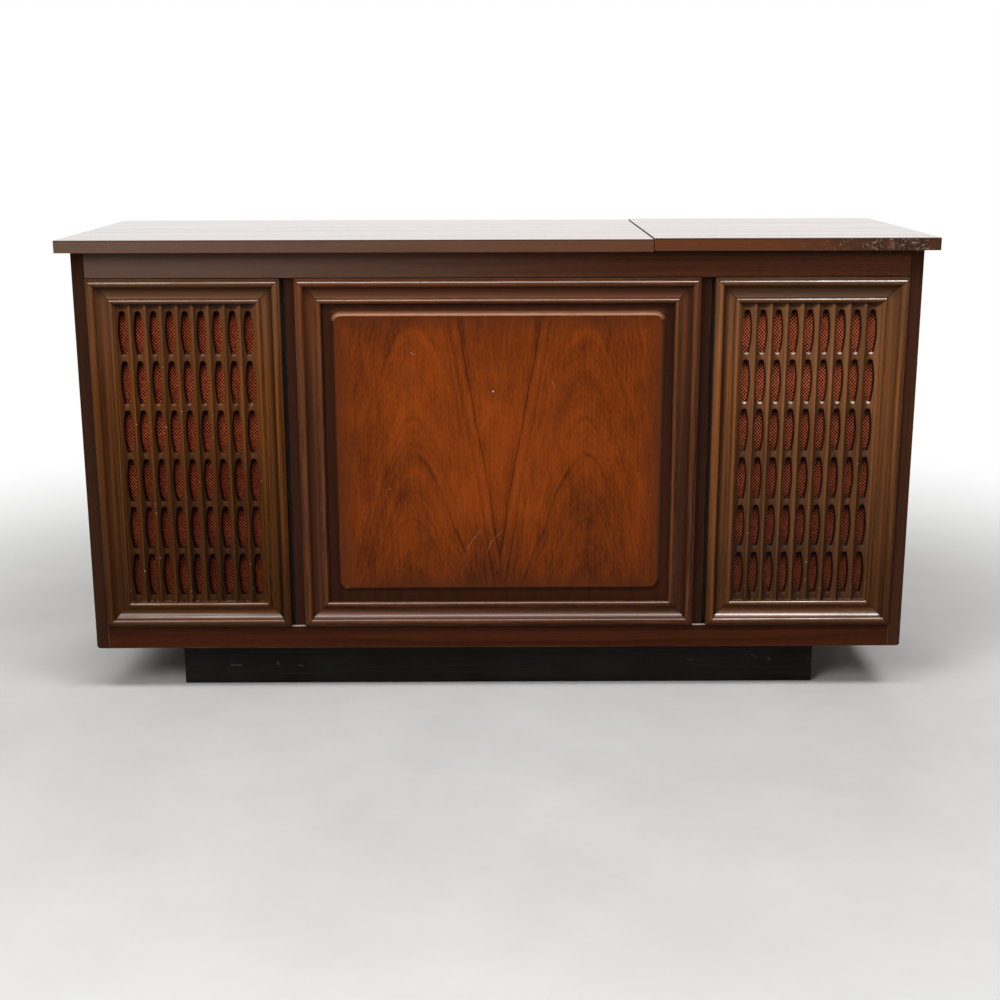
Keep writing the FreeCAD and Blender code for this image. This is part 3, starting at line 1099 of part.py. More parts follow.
def build_levers():
    y = LEVER_Y
    for name, x in (("start_lever", START_LEVER_X), ("speed_lever", SPEED_LEVER_X)):
        low = PLATE_TOP + SEAT_GAP
        hub = rod((x, y, low), LEVER_HUB_RADIUS, LEVER_HUB_HEIGHT, UP)
        spigot = rod((x, y, PLATE_TOP - SPIGOT_LENGTH), LEVER_SPIGOT_RADIUS, SPIGOT_LENGTH + SEAT_GAP, UP)
        bar_x = (x - LEVER_WIDTH / 2, x + LEVER_WIDTH / 2)
        bar = board(bar_x, (y, y + LEVER_LENGTH), (low, low + LEVER_THICKNESS))
        grip = rod((x, y + LEVER_LENGTH, low), LEVER_WIDTH * 0.7, LEVER_HUB_HEIGHT * 1.4, UP)
        save(name, [joined(hub, [spigot, bar, grip])])


def knob(x, y, radius):
    """A turned knob with a skirt, a pointer groove and its shaft."""
    low = PANEL_TOP + SEAT_GAP
    body = rod((x, y, low), radius, KNOB_HEIGHT, UP)
    top = edges_where(body, lambda m: m.z > low + KNOB_HEIGHT - 0.5)
    body = body.makeFillet(KNOB_ROUND, top)
    skirt = rod((x, y, low), radius + KNOB_SKIRT, KNOB_SKIRT_HEIGHT, UP)
    shaft = rod((x, y, PANEL_TOP - SHAFT_DEPTH), SHAFT_RADIUS, SHAFT_DEPTH + SEAT_GAP, UP)
    mark_x = (x - KNOB_MARK_WIDTH / 2, x + KNOB_MARK_WIDTH / 2)
    mark_z = (low + KNOB_HEIGHT - KNOB_MARK_DEPTH, low + KNOB_HEIGHT)
    mark = board(mark_x, (y + radius * 0.25, y + radius), mark_z)
    return trimmed(joined(body, [skirt, shaft]), [mark])


def build_controls():
    panel = board((PANEL_LEFT, PANEL_RIGHT), (PANEL_FRONT, PANEL_BACK), (DECK_TOP, PANEL_TOP))
    panel = panel.makeFillet(PANEL_CORNER, upright_edges(panel))
    pocket = board((DIAL_LEFT, DIAL_RIGHT), (DIAL_FRONT, DIAL_BACK), (DIAL_FLOOR, PANEL_TOP))
    rebate_x = (DIAL_LEFT - GLASS_LAP, DIAL_RIGHT + GLASS_LAP)
    rebate_y = (DIAL_FRONT - GLASS_LAP, DIAL_BACK + GLASS_LAP)
    glass_low = PANEL_TOP - GLASS_THICKNESS
    rebate = board(rebate_x, rebate_y, (glass_low, PANEL_TOP))
    button_x = (PANEL_X - BUTTON_WIDTH / 2, PANEL_X + BUTTON_WIDTH / 2)
    button_y = (MIDDLE_ROW_Y - BUTTON_DEPTH / 2, MIDDLE_ROW_Y + BUTTON_DEPTH / 2)
    hole_x = (button_x[0] - BUTTON_FIT, button_x[1] + BUTTON_FIT)
    hole_y = (button_y[0] - BUTTON_FIT, button_y[1] + BUTTON_FIT)
    tools = [pocket, rebate, board(hole_x, hole_y, (DECK_TOP, PANEL_TOP))]
    for x, y in KNOB_PLACES.values():
        tools.append(rod((x, y, DECK_TOP), SHAFT_RADIUS + RUN_FIT, PANEL_THICKNESS, UP))
    save("control_panel", [trimmed(panel, tools)])
    glass_x = (rebate_x[0] + GLASS_FIT, rebate_x[1] - GLASS_FIT)
    glass_y = (rebate_y[0] + GLASS_FIT, rebate_y[1] - GLASS_FIT)
    save("dial_glass", [board(glass_x, glass_y, (glass_low, PANEL_TOP))])
    pointer_x = (PANEL_X - POINTER_WIDTH / 2, PANEL_X + POINTER_WIDTH / 2)
    pointer_y = (DIAL_FRONT + POINTER_END_GAP, DIAL_BACK - POINTER_END_GAP)
    pointer_low = DIAL_FLOOR + POINTER_FLOAT
    save("dial_pointer", [board(pointer_x, pointer_y, (pointer_low, pointer_low + POINTER_THICKNESS))])
    for name, place in KNOB_PLACES.items():
        radius = TUNING_KNOB_RADIUS if name == "tuning_knob" else KNOB_RADIUS
        save(name, [knob(place[0], place[1], radius)])
    cap_top = PANEL_TOP + BUTTON_RISE
    cap = board(button_x, button_y, (DECK_TOP - BUTTON_FOOT, cap_top))
    rim = edges_where(cap, lambda m: m.z > cap_top - 0.1)
    collar_x = (button_x[0] - BUTTON_COLLAR, button_x[1] + BUTTON_COLLAR)
    collar_y = (button_y[0] - BUTTON_COLLAR, button_y[1] + BUTTON_COLLAR)
    collar = board(collar_x, collar_y, (DECK_TOP - BUTTON_FOOT, DECK_TOP - SEAT_GAP))
    save("power_button", [joined(cap.makeFillet(BUTTON_ROUND, rim), [collar])])


def main():
    os.makedirs("parts", exist_ok=True)
    build_plinth()
    build_case()
    build_tops()
    build_hinges()
    build_stay()
    build_centre()
    build_speaker_fronts()
    build_loudspeakers()
    build_back()
    build_deck()
    build_changer()
    build_tonearm()
    build_steadying_arm()
    build_levers()
    build_controls()


if __name__ == "__main__":
    main()
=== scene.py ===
import math

import bmesh
import bpy
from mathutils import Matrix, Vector


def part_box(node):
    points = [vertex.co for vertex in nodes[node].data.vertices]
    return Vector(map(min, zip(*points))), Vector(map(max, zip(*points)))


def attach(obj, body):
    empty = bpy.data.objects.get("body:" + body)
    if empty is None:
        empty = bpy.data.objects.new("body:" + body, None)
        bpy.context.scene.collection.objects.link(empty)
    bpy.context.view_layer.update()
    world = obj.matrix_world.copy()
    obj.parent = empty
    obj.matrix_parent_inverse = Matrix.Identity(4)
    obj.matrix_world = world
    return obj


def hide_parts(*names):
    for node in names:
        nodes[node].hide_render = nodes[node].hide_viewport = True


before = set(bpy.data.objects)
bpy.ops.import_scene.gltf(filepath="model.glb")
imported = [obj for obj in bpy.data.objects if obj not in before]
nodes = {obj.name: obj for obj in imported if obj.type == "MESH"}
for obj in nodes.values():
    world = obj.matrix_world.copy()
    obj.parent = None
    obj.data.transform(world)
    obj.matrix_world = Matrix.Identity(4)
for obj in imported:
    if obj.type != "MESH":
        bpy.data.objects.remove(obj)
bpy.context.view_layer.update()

# Places on the part, metres
TOP_FACE = 0.770
LID_FACE = 0.7685
LID_END_X = 0.2467
LAMINATE = 0.0021
FRAME_LOW = 0.120
FRAME_HIGH = 0.7055
CENTRE_HALF = 0.327
GRILLE_MID = 0.5055
GRILLE_HALF = 0.1555
MOULDING_WIDTH = 0.0412
RIDGE_Y = -0.2085
VALLEY_Y = -0.204
FIELD_HALF = 0.2728
FIELD_LOW = 0.1792
FIELD_HIGH = 0.6513
FIELD_CORNER = 0.019
FIELD_MIDDLE = (FIELD_LOW + FIELD_HIGH) / 2
VENEER_SEAM_X = 0.002
PANEL_LOW = FRAME_LOW + MOULDING_WIDTH
PANEL_HIGH = FRAME_HIGH - MOULDING_WIDTH
HOLE_PITCH = 0.081483
HOLE_FIRST = 0.20904
HOLE_ROWS = 6
SIDE_JOINT_X = 0.662
FRONT_Y = -0.19
LEDGE_Y = -0.2035
PLINTH_FRONT_Y = -0.155
UPRIGHT_FOOT = 0.198
UPRIGHT_HEAD = 0.604
THREAD_ACROSS = 0.0051
THREAD_UP = 0.0057

# Glaze and painted shade in the bottom length of each frame, by share of the section's width; the dark at the outer
# edge is a painted shadow, and the cove is left lighter than on the top length as painted light
LOW_GLAZE_AND_SHADE = [(0.0, 1.0), (0.09, 0.8), (0.20, 0.35), (0.30, 0.20), (0.40, 0.12), (0.58, 0.10), (0.67, 0.6),
              (0.74, 1.0), (0.80, 0.9), (0.84, 0.1), (0.95, 0.0), (1.0, 0.8)]

BLACK = (0.0, 0.0, 0.0)

# Camera, fitted to the photograph's edges
CAMERA_PLACE = (-0.0101, -2.6633, 0.9531)
CAMERA_TURN = (75.932, 0.1145, -0.3255)
CAMERA_LENS = 54.8
SENSOR = 36.0

# Studio light: name, place, aim, size, watts
WORLD_LEVEL = 0.11
LAMPS = [
    ("overhead_left", (-0.55, -1.3, 2.5), (-0.2, -0.1, 0.4), (1.9, 0.5), 29.0),
    ("overhead_right", (1.05, -1.3, 2.5), (0.4, -0.1, 0.4), (1.3, 0.5), 30.0),
    ("front_left", (-1.7, -2.6, 2.1), (0.0, 0.0, 0.4), (1.4, 1.2), 52.0),
    ("rear", (0.3, 2.4, 2.4), (0.0, 0.0, 0.5), (2.4, 1.4), 42.0),
]


# ---------------------------------------------------------------- node trees

class Level:
    """A node's output, which can be added, taken away and multiplied like a number."""

    def __init__(self, tree, socket):
        self.tree = tree
        self.socket = socket

    def __add__(self, other):
        return self.tree.maths("ADD", self, other)

    def __radd__(self, other):
        return self.tree.maths("ADD", other, self)

    def __sub__(self, other):
        return self.tree.maths("SUBTRACT", self, other)

    def __rsub__(self, other):
        return self.tree.maths("SUBTRACT", other, self)

    def __mul__(self, other):
        return self.tree.maths("MULTIPLY", self, other)

    def __rmul__(self, other):
        return self.tree.maths("MULTIPLY", other, self)


class Tree:
    """A finish's node tree, with short calls for the nodes that the finishes are made of."""

    def __init__(self, tree):
        self.tree = tree

    def put(self, socket, value):
        if isinstance(value, Level):
            self.tree.links.new(value.socket, socket)
        elif socket.type == "RGBA" and len(value) == 3:
            socket.default_value = (*value, 1.0)
        else:
            socket.default_value = value

    def add(self, kind, inputs=None, **settings):
        made = self.tree.nodes.new("ShaderNode" + kind)
        for name, value in settings.items():
            setattr(made, name, value)
        for name, value in (inputs or {}).items():
            self.put(made.inputs[name], value)
        return made

    def level(self, kind, inputs=None, result=0, **settings):
        """One output of a new node."""
        return Level(self, self.add(kind, inputs, **settings).outputs[result])

    def maths(self, operation, first, second=0.0, clamp=False):
        return self.level("Math", {0: first, 1: second}, operation=operation, use_clamp=clamp)

    def vectors(self, operation, first, second, result=0):
        return self.level("VectorMath", {0: first, 1: second}, result, operation=operation)

    def scaled(self, vector, amount):
        return self.level("VectorMath", {0: vector, "Scale": amount}, operation="SCALE")

    def mixed(self, amount, first, second):
        return self.level("Mix", {0: amount, 6: first, 7: second}, 2, data_type="RGBA")

    def between(self, amount, first, second):
        return self.level("Mix", {0: amount, 2: first, 3: second}, data_type="FLOAT")

    def ramped(self, value, stops):
        made = self.add("ValToRGB", {0: value})
        elements = made.color_ramp.elements
        while len(elements) < len(stops):
            elements.new(1.0)
        for element, (place, level) in zip(elements, stops):
            element.position = place
            element.color = (level, level, level, 1.0)
        return Level(self, made.outputs[0])

    def ranged(self, value, low, high, to_low=0.0, to_high=1.0, smooth=False):
        return self.level("MapRange", {0: value, 1: low, 2: high, 3: to_low, 4: to_high},
                          interpolation_type="SMOOTHSTEP" if smooth else "LINEAR")

    def noise(self, vector, scale=1.0, detail=2.0, roughness=0.5, distortion=0.0):
        return self.level("TexNoise", {"Vector": vector, "Scale": scale, "Detail": detail, "Roughness": roughness,
                                       "Distortion": distortion})

    def placed(self, vector, scale=(1, 1, 1), shift=(0, 0, 0), turn=(0, 0, 0)):
        return self.level("Mapping", {"Vector": vector, "Location": shift, "Rotation": turn, "Scale": scale})

    def streaks(self, vector, scale, detail=2.0, roughness=0.5, distortion=0.0, **place):
        """Noise drawn out along one axis of a vector."""
        return self.noise(self.placed(vector, scale, **place), 1.0, detail, roughness, distortion)

    def split(self, vector):
        return [Level(self, socket) for socket in self.add("SeparateXYZ", {0: vector}).outputs]

    def joined(self, x, y, z):
        return self.level("CombineXYZ", {0: x, 1: y, 2: z})

    def here(self):
        return self.level("TexCoord", result="Object")

    def from_point(self, point):
        """How far off a point is, seen from the front."""
        x, _, z = self.split(self.here())
        return self.vectors("DISTANCE", self.joined(x, 0.0, z), point, "Value")

    def facing(self):
        return self.level("TexCoord", result="Normal")

    def upward(self, low=0.1, high=0.55):
        return self.ranged(self.split(self.facing())[2], low, high)

    def raised(self, height, distance, strength):
        return self.level("Bump", {"Height": height, "Distance": distance, "Strength": strength})

    def rays(self):
        """The kinds of ray, by name."""
        return {socket.name: Level(self, socket) for socket in self.add("LightPath").outputs}

    def by_rows(self, z, levels):
        """A level that changes from one row of grille holes to the next; the levels run from the top row down."""
        last = HOLE_ROWS - 1
        along = self.ranged(z, HOLE_FIRST, HOLE_FIRST + last * HOLE_PITCH)
        return self.ramped(along, [(count / last, level) for count, level in enumerate(reversed(levels))])

    def use(self, group, inputs):
        made = self.tree.nodes.new("ShaderNodeGroup")
        made.node_tree = group
        for name, value in inputs.items():
            self.put(made.inputs[name], value)
        return {socket.name: Level(self, socket) for socket in made.outputs}


def new_group(name, inputs, outputs):
    """An empty node group with its sockets: the group, its tree, what it is given and what it puts out."""
    group = bpy.data.node_groups.new(name, "ShaderNodeTree")
    for label, kind, value in inputs:
        socket = group.interface.new_socket(label, in_out="INPUT", socket_type="NodeSocket" + kind)
        if value is not None:
            socket.default_value = (*value, 1.0) if kind == "Color" else value
    for label, kind in outputs:
        group.interface.new_socket(label, in_out="OUTPUT", socket_type="NodeSocket" + kind)
    tree = Tree(group)
    given = {label: Level(tree, socket) for (label, _, _), socket
             in zip(inputs, group.nodes.new("NodeGroupInput").outputs)}
    out = group.nodes.new("NodeGroupOutput").inputs
    return group, tree, given, out


def new_finish(name):
    """A new material with its tree and its shader."""
    made = bpy.data.materials.new(name)
    made.use_nodes = True
    return made, Tree(made.node_tree), made.node_tree.nodes["Principled BSDF"].inputs


def laid(made, tree, shader, colour, rough, relief, specular=None):
    """A finish with its colour, roughness and relief (height, distance, strength) put into its shader."""
    tree.put(shader["Base Color"], colour)
    tree.put(shader["Roughness"], rough)
    tree.put(shader["Normal"], tree.raised(*relief))
    if specular is not None:
        shader["Specular IOR Level"].default_value = specular
    return made


def wood_grain_group():
    """Walnut along the vector's X: growth rings, streaks, pores. All sizes in metres."""
    group, tree, given, out = new_group(
        "wood_grain",
        [("Vector", "Vector", None), ("Pale", "Color", (0.3, 0.15, 0.07)), ("Deep", "Color", (0.1, 0.04, 0.02)),
         ("Vein", "Color", (0.03, 0.012, 0.006)), ("Ring", "Float", 0.02), ("Figure", "Float", 0.5),
         ("Streak", "Float", 0.5), ("Pores", "Float", 0.5)],
        [("Color", "Color"), ("Rough", "Float"), ("Height", "Float")])
    vector = given["Vector"]
    _, across, deep = tree.split(vector)
    wander = tree.streaks(vector, (1.4, 6.0, 6.0), 2.0)
    ring_at = across + deep * 0.4 + wander * 0.07
    ring = tree.maths("FRACT", tree.maths("DIVIDE", ring_at, given["Ring"]))
    ring_shade = tree.ramped(ring, [(0.0, 0.0), (0.5, 0.25), (0.88, 1.0), (1.0, 0.0)])
    streak = tree.streaks(vector, (2.6, 150.0, 150.0), 4.0, 0.6)
    fine = tree.streaks(vector, (16.0, 900.0, 900.0), 2.0)
    pore = tree.ranged(tree.streaks(vector, (75.0, 2200.0, 2200.0), 1.0), 0.58, 0.70)
    cloud = tree.streaks(vector, (2.2, 8.0, 8.0), 2.0)
    depth = ring_shade * given["Figure"] + (streak - 0.5) * (given["Streak"] * 2.2)
    depth = depth + ((cloud - 0.5) * 0.7 + 0.3)
    colour = tree.mixed(tree.maths("ADD", depth, 0.0, clamp=True), given["Pale"], given["Deep"])
    pored = pore * given["Pores"]
    tree.put(out["Color"], tree.mixed(pored, colour, given["Vein"]))
    tree.put(out["Rough"], fine * 0.5 + pored * 0.5)
    tree.put(out["Height"], fine * 0.35 - pored)
    return group


def edge_wear_group():
    """Paler, rubbed finish on edges, broken up along them."""
    group, tree, given, out = new_group(
        "edge_wear",
        [("Color", "Color", (0.1, 0.05, 0.03)), ("Worn", "Color", (0.3, 0.2, 0.12)), ("Amount", "Float", 0.5),
         ("Width", "Float", 0.002)],
        [("Color", "Color")])
    rounded = tree.level("Bevel", {"Radius": given["Width"]}, samples=4)
    meet = tree.vectors("DOT_PRODUCT", rounded, tree.level("NewGeometry", result="Normal"), "Value")
    edge = tree.ranged(meet, 0.985, 0.90)
    patch = tree.ranged(tree.noise(tree.here(), 45.0, 5.0, 0.65), 0.42, 0.62)
    mask = edge * patch * given["Amount"]
    tree.put(out["Color"], tree.mixed(mask, given["Color"], given["Worn"]))
    return group


def scuff_group():
    """Short scratches and specks in a paler colour, more where Density is high."""
    group, tree, given, out = new_group(
        "scuffs",
        [("Color", "Color", (0.1, 0.05, 0.03)), ("Scuff", "Color", (0.4, 0.3, 0.2)), ("Density", "Float", 0.3)],
        [("Color", "Color")])
    here = tree.here()
    speck = tree.noise(here, 420.0, 3.0, 0.6)
    scratch = tree.streaks(here, (60.0, 60.0, 900.0), 2.0, turn=(0.35, 0.0, 0.6))
    field = tree.noise(here, 9.0, 3.0, 0.6)
    level = tree.maths("MAXIMUM", speck, scratch) + (field - 0.5) * 0.35
    mask = tree.ranged(level + given["Density"] * 0.25, 0.86, 0.93)
    tree.put(out["Color"], tree.mixed(mask, given["Color"], given["Scuff"]))
    return group


def scratch_group():
    """One short straight mark between two points, ragged along its sides."""
    group, tree, given, out = new_group(
        "scratch",
        [("Vector", "Vector", None), ("From", "Vector", None), ("To", "Vector", None), ("Width", "Float", 0.001)],
        [("Mask", "Float")])
    start = tree.vectors("SUBTRACT", given["Vector"], given["From"])
    line = tree.vectors("SUBTRACT", given["To"], given["From"])
    share = tree.maths("DIVIDE", tree.vectors("DOT_PRODUCT", start, line, "Value"),
                       tree.vectors("DOT_PRODUCT", line, line, "Value"), clamp=True)
    nearest = tree.scaled(line, share)
    away = tree.vectors("DISTANCE", start, nearest, "Value")
    ragged = tree.ranged(tree.noise(given["Vector"], 700.0, 2.0), 0.3, 0.7, 0.3, 1.3)
    width = given["Width"] * ragged
    tree.put(out["Mask"], tree.ranged(away, width, width * 0.4, 0.0, 1.0))
    return group


WOOD_GRAIN = wood_grain_group()
EDGE_WEAR = edge_wear_group()
SCUFFS = scuff_group()
SCRATCH = scratch_group()


def grained(tree, vector, pale, deep, vein, ring, figure, streak, pores):
    """Walnut along the vector's X in given colours and strengths: its colour, roughness and height."""
    return tree.use(WOOD_GRAIN, {"Vector": vector, "Pale": pale, "Deep": deep, "Vein": vein, "Ring": ring,
                                 "Figure": figure, "Streak": streak, "Pores": pores})


def edge_worn(tree, colour, worn, amount, width):
    return tree.use(EDGE_WEAR, {"Color": colour, "Worn": worn, "Amount": amount, "Width": width})["Color"]


def scuffed_over(tree, colour, scuff, density):
    return tree.use(SCUFFS, {"Color": colour, "Scuff": scuff, "Density": density})["Color"]


def front_marks(tree, marks):
    """All of a front's marks together; each is (x, z) to (x, z) and its half width."""
    x, _, z = tree.split(tree.here())
    place = tree.joined(x, 0.0, z)
    together = 0.0
    for (start_x, start_z), (end_x, end_z), width in marks:
        mark = tree.use(SCRATCH, {"Vector": place, "From": (start_x, 0.0, start_z), "To": (end_x, 0.0, end_z),
                                  "Width": width})["Mask"]
        together = tree.maths("MAXIMUM", mark, together)
    return together


# ---------------------------------------------------------------- wood finishes

def walnut_top():
    """Glossy walnut laminate, grain along the length, dark line under the top face, chipped front edge, and a painted
    haze on the lid's front edge towards its left end.
    """
    made, tree, shader = new_finish("top_walnut")
    here = tree.here()
    x, _, z = tree.split(here)
    _, front_way, up_way = tree.split(tree.facing())
    on_fixed_top = tree.maths("GREATER_THAN", x, LID_END_X)
    wood = grained(tree, here, (0.250, 0.118, 0.058), (0.100, 0.042, 0.020), (0.022, 0.009, 0.004), 0.034, 0.40,
                   0.60, 0.55)
    forward = tree.ranged(front_way, -0.6, -0.9)
    edge = grained(tree, tree.placed(here, (1, 1, 3)), (0.125, 0.038, 0.014), (0.060, 0.018, 0.007),
                   (0.018, 0.007, 0.004), 0.03, 0.25, 0.5, 0.4)
    # painted haze: the lid's front edge is mixed towards a pale grey-brown towards its left end, as a painted
    # reflection
    painted_haze_edge = tree.mixed(tree.ranged(x, LID_END_X, -0.62, 0.18, 0.68), edge["Color"], (0.104, 0.072, 0.056))
    painted_haze_edge = tree.mixed(on_fixed_top, painted_haze_edge, edge["Color"])
    colour = tree.mixed(forward, wood["Color"], painted_haze_edge)
    shelf = tree.between(on_fixed_top, LID_FACE, TOP_FACE)
    line = tree.maths("GREATER_THAN", z, shelf - LAMINATE) * tree.maths("LESS_THAN", up_way, 0.75)
    colour = tree.mixed(line * 0.8, colour, (0.016, 0.014, 0.011))
    worn = edge_worn(tree, colour, (0.23, 0.12, 0.065), 0.45, 0.002)
    right_end = tree.ranged(x, 0.40, 0.64, smooth=True)
    splinter = tree.streaks(here, (95.0, 95.0, 330.0), 5.0, 0.75)
    speck = tree.streaks(here, (330.0, 330.0, 330.0), 3.0, 0.7)
    cluster = tree.streaks(here, (22.0, 22.0, 30.0), 2.0)
    level = tree.maths("MAXIMUM", splinter, speck - 0.03) + cluster * 0.22
    chip = tree.ranged(level + right_end * 0.115, 0.800, 0.845) * forward
    dark_patch = tree.ranged(tree.noise(here, 38.0, 3.0), 0.28, 0.50) * (right_end * forward)
    colour = tree.mixed(dark_patch * 0.85, worn, (0.024, 0.013, 0.009))
    bare = tree.mixed(tree.ranged(cluster, 0.40, 0.60), (0.30, 0.15, 0.085), (0.34, 0.29, 0.25))
    colour = tree.mixed(chip * 0.80, colour, bare)
    streaked = tree.ranged(tree.streaks(here, (1.2, 34.0, 34.0), 4.0, 0.6), 0.32, 0.62, 0.86, 1.0)
    tree.put(shader["Coat Weight"], tree.ranged(up_way, 0.5, 0.9) * streaked)
    shader["Coat Roughness"].default_value = 0.12
    shader["Coat IOR"].default_value = 1.6
    shader["Specular Tint"].default_value = (1.0, 0.80, 0.64, 1.0)
    height = wood["Height"] * 0.06 - chip * 1.5
    return laid(made, tree, shader, colour, tree.ranged(wood["Rough"] + chip, 0.0, 1.2, 0.22, 0.48),
                (height, 0.0004, 0.35), 0.16)


def case_walnut(name, order, pale, deep, broad_face=None, shade_from=None, ledge_painted_light=False,
                joint_colour=(0.005, 0.003, 0.002)):
    """Walnut of the case under a dark stain. order gives the object axes that run along, across and into the grain.
    With shade_from, a painted haze towards the left and a painted shadow under the top's overhang; with the ledge flag,
    a painted shadow under the frames and a painted highlight on the ledge.
    """
    made, tree, shader = new_finish(name)
    axes = dict(zip("xyz", tree.split(tree.here())))
    vector = tree.joined(*(axes[letter] for letter in order))
    vein, streak, pores = (0.010, 0.004, 0.0025), 0.62, 0.7
    wood = grained(tree, vector, pale, deep, vein, 0.03, 0.35, streak, pores)
    colour = wood["Color"]
    if broad_face is not None:
        broad = grained(tree, vector, *broad_face, vein, 0.055, 0.30, streak, pores)
        sideways = tree.ranged(tree.maths("ABSOLUTE", tree.split(tree.facing())[0]), 0.6, 0.9)
        colour = tree.mixed(sideways, colour, broad["Color"])
    if shade_from is not None:
        # painted haze: the rail is mixed towards a pale grey-brown towards its left end, as a painted reflection
        painted_haze = tree.ranged(axes["x"], 0.32, -0.62, 0.0, 0.88, smooth=True)
        colour = tree.mixed(painted_haze, colour, (0.140, 0.085, 0.066))
        # painted shadow under the top's overhang along the rail's top, stronger towards the right
        painted_overhang_shadow = tree.ranged(axes["z"], shade_from, shade_from + 0.016, 0.0, 0.6, smooth=True)
        painted_overhang_shadow = painted_overhang_shadow * tree.ranged(axes["x"], 0.12, 0.36, 1.0, 1.62)
        colour = tree.mixed(painted_overhang_shadow, colour, (0.012, 0.006, 0.004))
    worn = edge_worn(tree, colour, (0.19, 0.085, 0.045), 0.6, 0.0022)
    colour = scuffed_over(tree, worn, (0.16, 0.10, 0.07), 0.05)
    if ledge_painted_light:
        # painted shadow along the rail's top under the frames, and a painted highlight on the ledge's upward faces
        colour = tree.mixed(tree.ranged(axes["z"], 0.107, 0.119, 0.0, 0.6), colour, (0.008, 0.003, 0.0015))
        painted_ledge_highlight = tree.upward(0.6, 0.9) * tree.maths("LESS_THAN", axes["y"], LEDGE_Y)
        colour = tree.mixed(painted_ledge_highlight * 0.85, colour, (0.52, 0.44, 0.38))
    from_joint = tree.maths("ABSOLUTE", tree.maths("ABSOLUTE", axes["x"]) - SIDE_JOINT_X)
    joint = tree.ranged(from_joint, 0.0003, 0.0011, 1.0, 0.0) * tree.maths("LESS_THAN", axes["y"], FRONT_Y)
    return laid(made, tree, shader, tree.mixed(joint * 0.85, colour, joint_colour),
                tree.ranged(wood["Rough"], 0.0, 1.0, 0.34, 0.52), (wood["Height"] - joint * 2.0, 0.0003, 0.3), 0.05)


def mitred(tree, middle_x, half_width):
    """A mitred frame's grain vector, share of the section's width, mitre lines, uprights, low and top lengths."""
    x, y, z = tree.split(tree.here())
    middle_z = (FRAME_LOW + FRAME_HIGH) / 2
    half_height = (FRAME_HIGH - FRAME_LOW) / 2
    from_side = half_width - tree.maths("ABSOLUTE", x - middle_x)
    from_end = half_height - tree.maths("ABSOLUTE", z - middle_z)
    upright = tree.maths("LESS_THAN", from_side, from_end)
    inward = tree.maths("MINIMUM", from_side, from_end)
    along = tree.between(upright, x, z + 3.0)
    side = tree.between(upright, tree.maths("SIGN", z), tree.maths("SIGN", x - middle_x))
    mitre = tree.ranged(tree.maths("ABSOLUTE", from_side - from_end), 0.0004, 0.0013, 1.0, 0.0)
    low_length = tree.maths("LESS_THAN", z, middle_z) * (1.0 - upright)
    top_length = tree.maths("GREATER_THAN", z, middle_z) * (1.0 - upright)
    share = tree.maths("DIVIDE", inward, MOULDING_WIDTH)
    grain = tree.joined(along, inward + side * 0.7, y)
    return grain, share, mitre, upright, low_length, top_length


def lit_from_above(tree, upright, colour, levels):
    """A frame's uprights, paler towards the top. The levels run from the foot up; 0.5 leaves the colour as it is."""
    z = tree.split(tree.here())[2]
    last = len(levels) - 1
    rise = tree.ranged(z, UPRIGHT_FOOT, UPRIGHT_HEAD)
    level = tree.ramped(rise, [(count / last, level) for count, level in enumerate(levels)])
    return tree.scaled(colour, tree.between(upright, 0.5, level) * 2.0)


def lit_cove(tree, share, top_length, colour, lit_colour):
    """The lower part of the cove on a top length, which faces the light."""
    rise = tree.ramped(share, [(0.0, 0.0), (0.42, 0.0), (0.60, 0.35), (0.765, 0.85), (0.79, 0.0), (1.0, 0.0)])
    return tree.mixed(rise * top_length, colour, lit_colour)


def moulding_gloss(tree, share, low_length, low_bead, low_cove):
    """Gloss over the section: full on the beads, less in the cove, which is lit on the bottom length."""
    shaded = tree.ramped(share, [(0.0, 0.1), (0.09, 0.25), (0.13, 1.0), (0.28, 1.0), (0.34, 0.4), (0.74, 0.4),
                                 (0.80, 1.0), (1.0, 1.0)])
    lit = tree.ramped(share, [(0.0, 0.25), (0.22, low_bead), (0.34, low_cove), (0.55, 0.8 * low_cove), (0.74, 0.4),
                              (0.80, 0.85), (1.0, 0.85)])
    return tree.upward() * tree.between(low_length, shaded, lit)


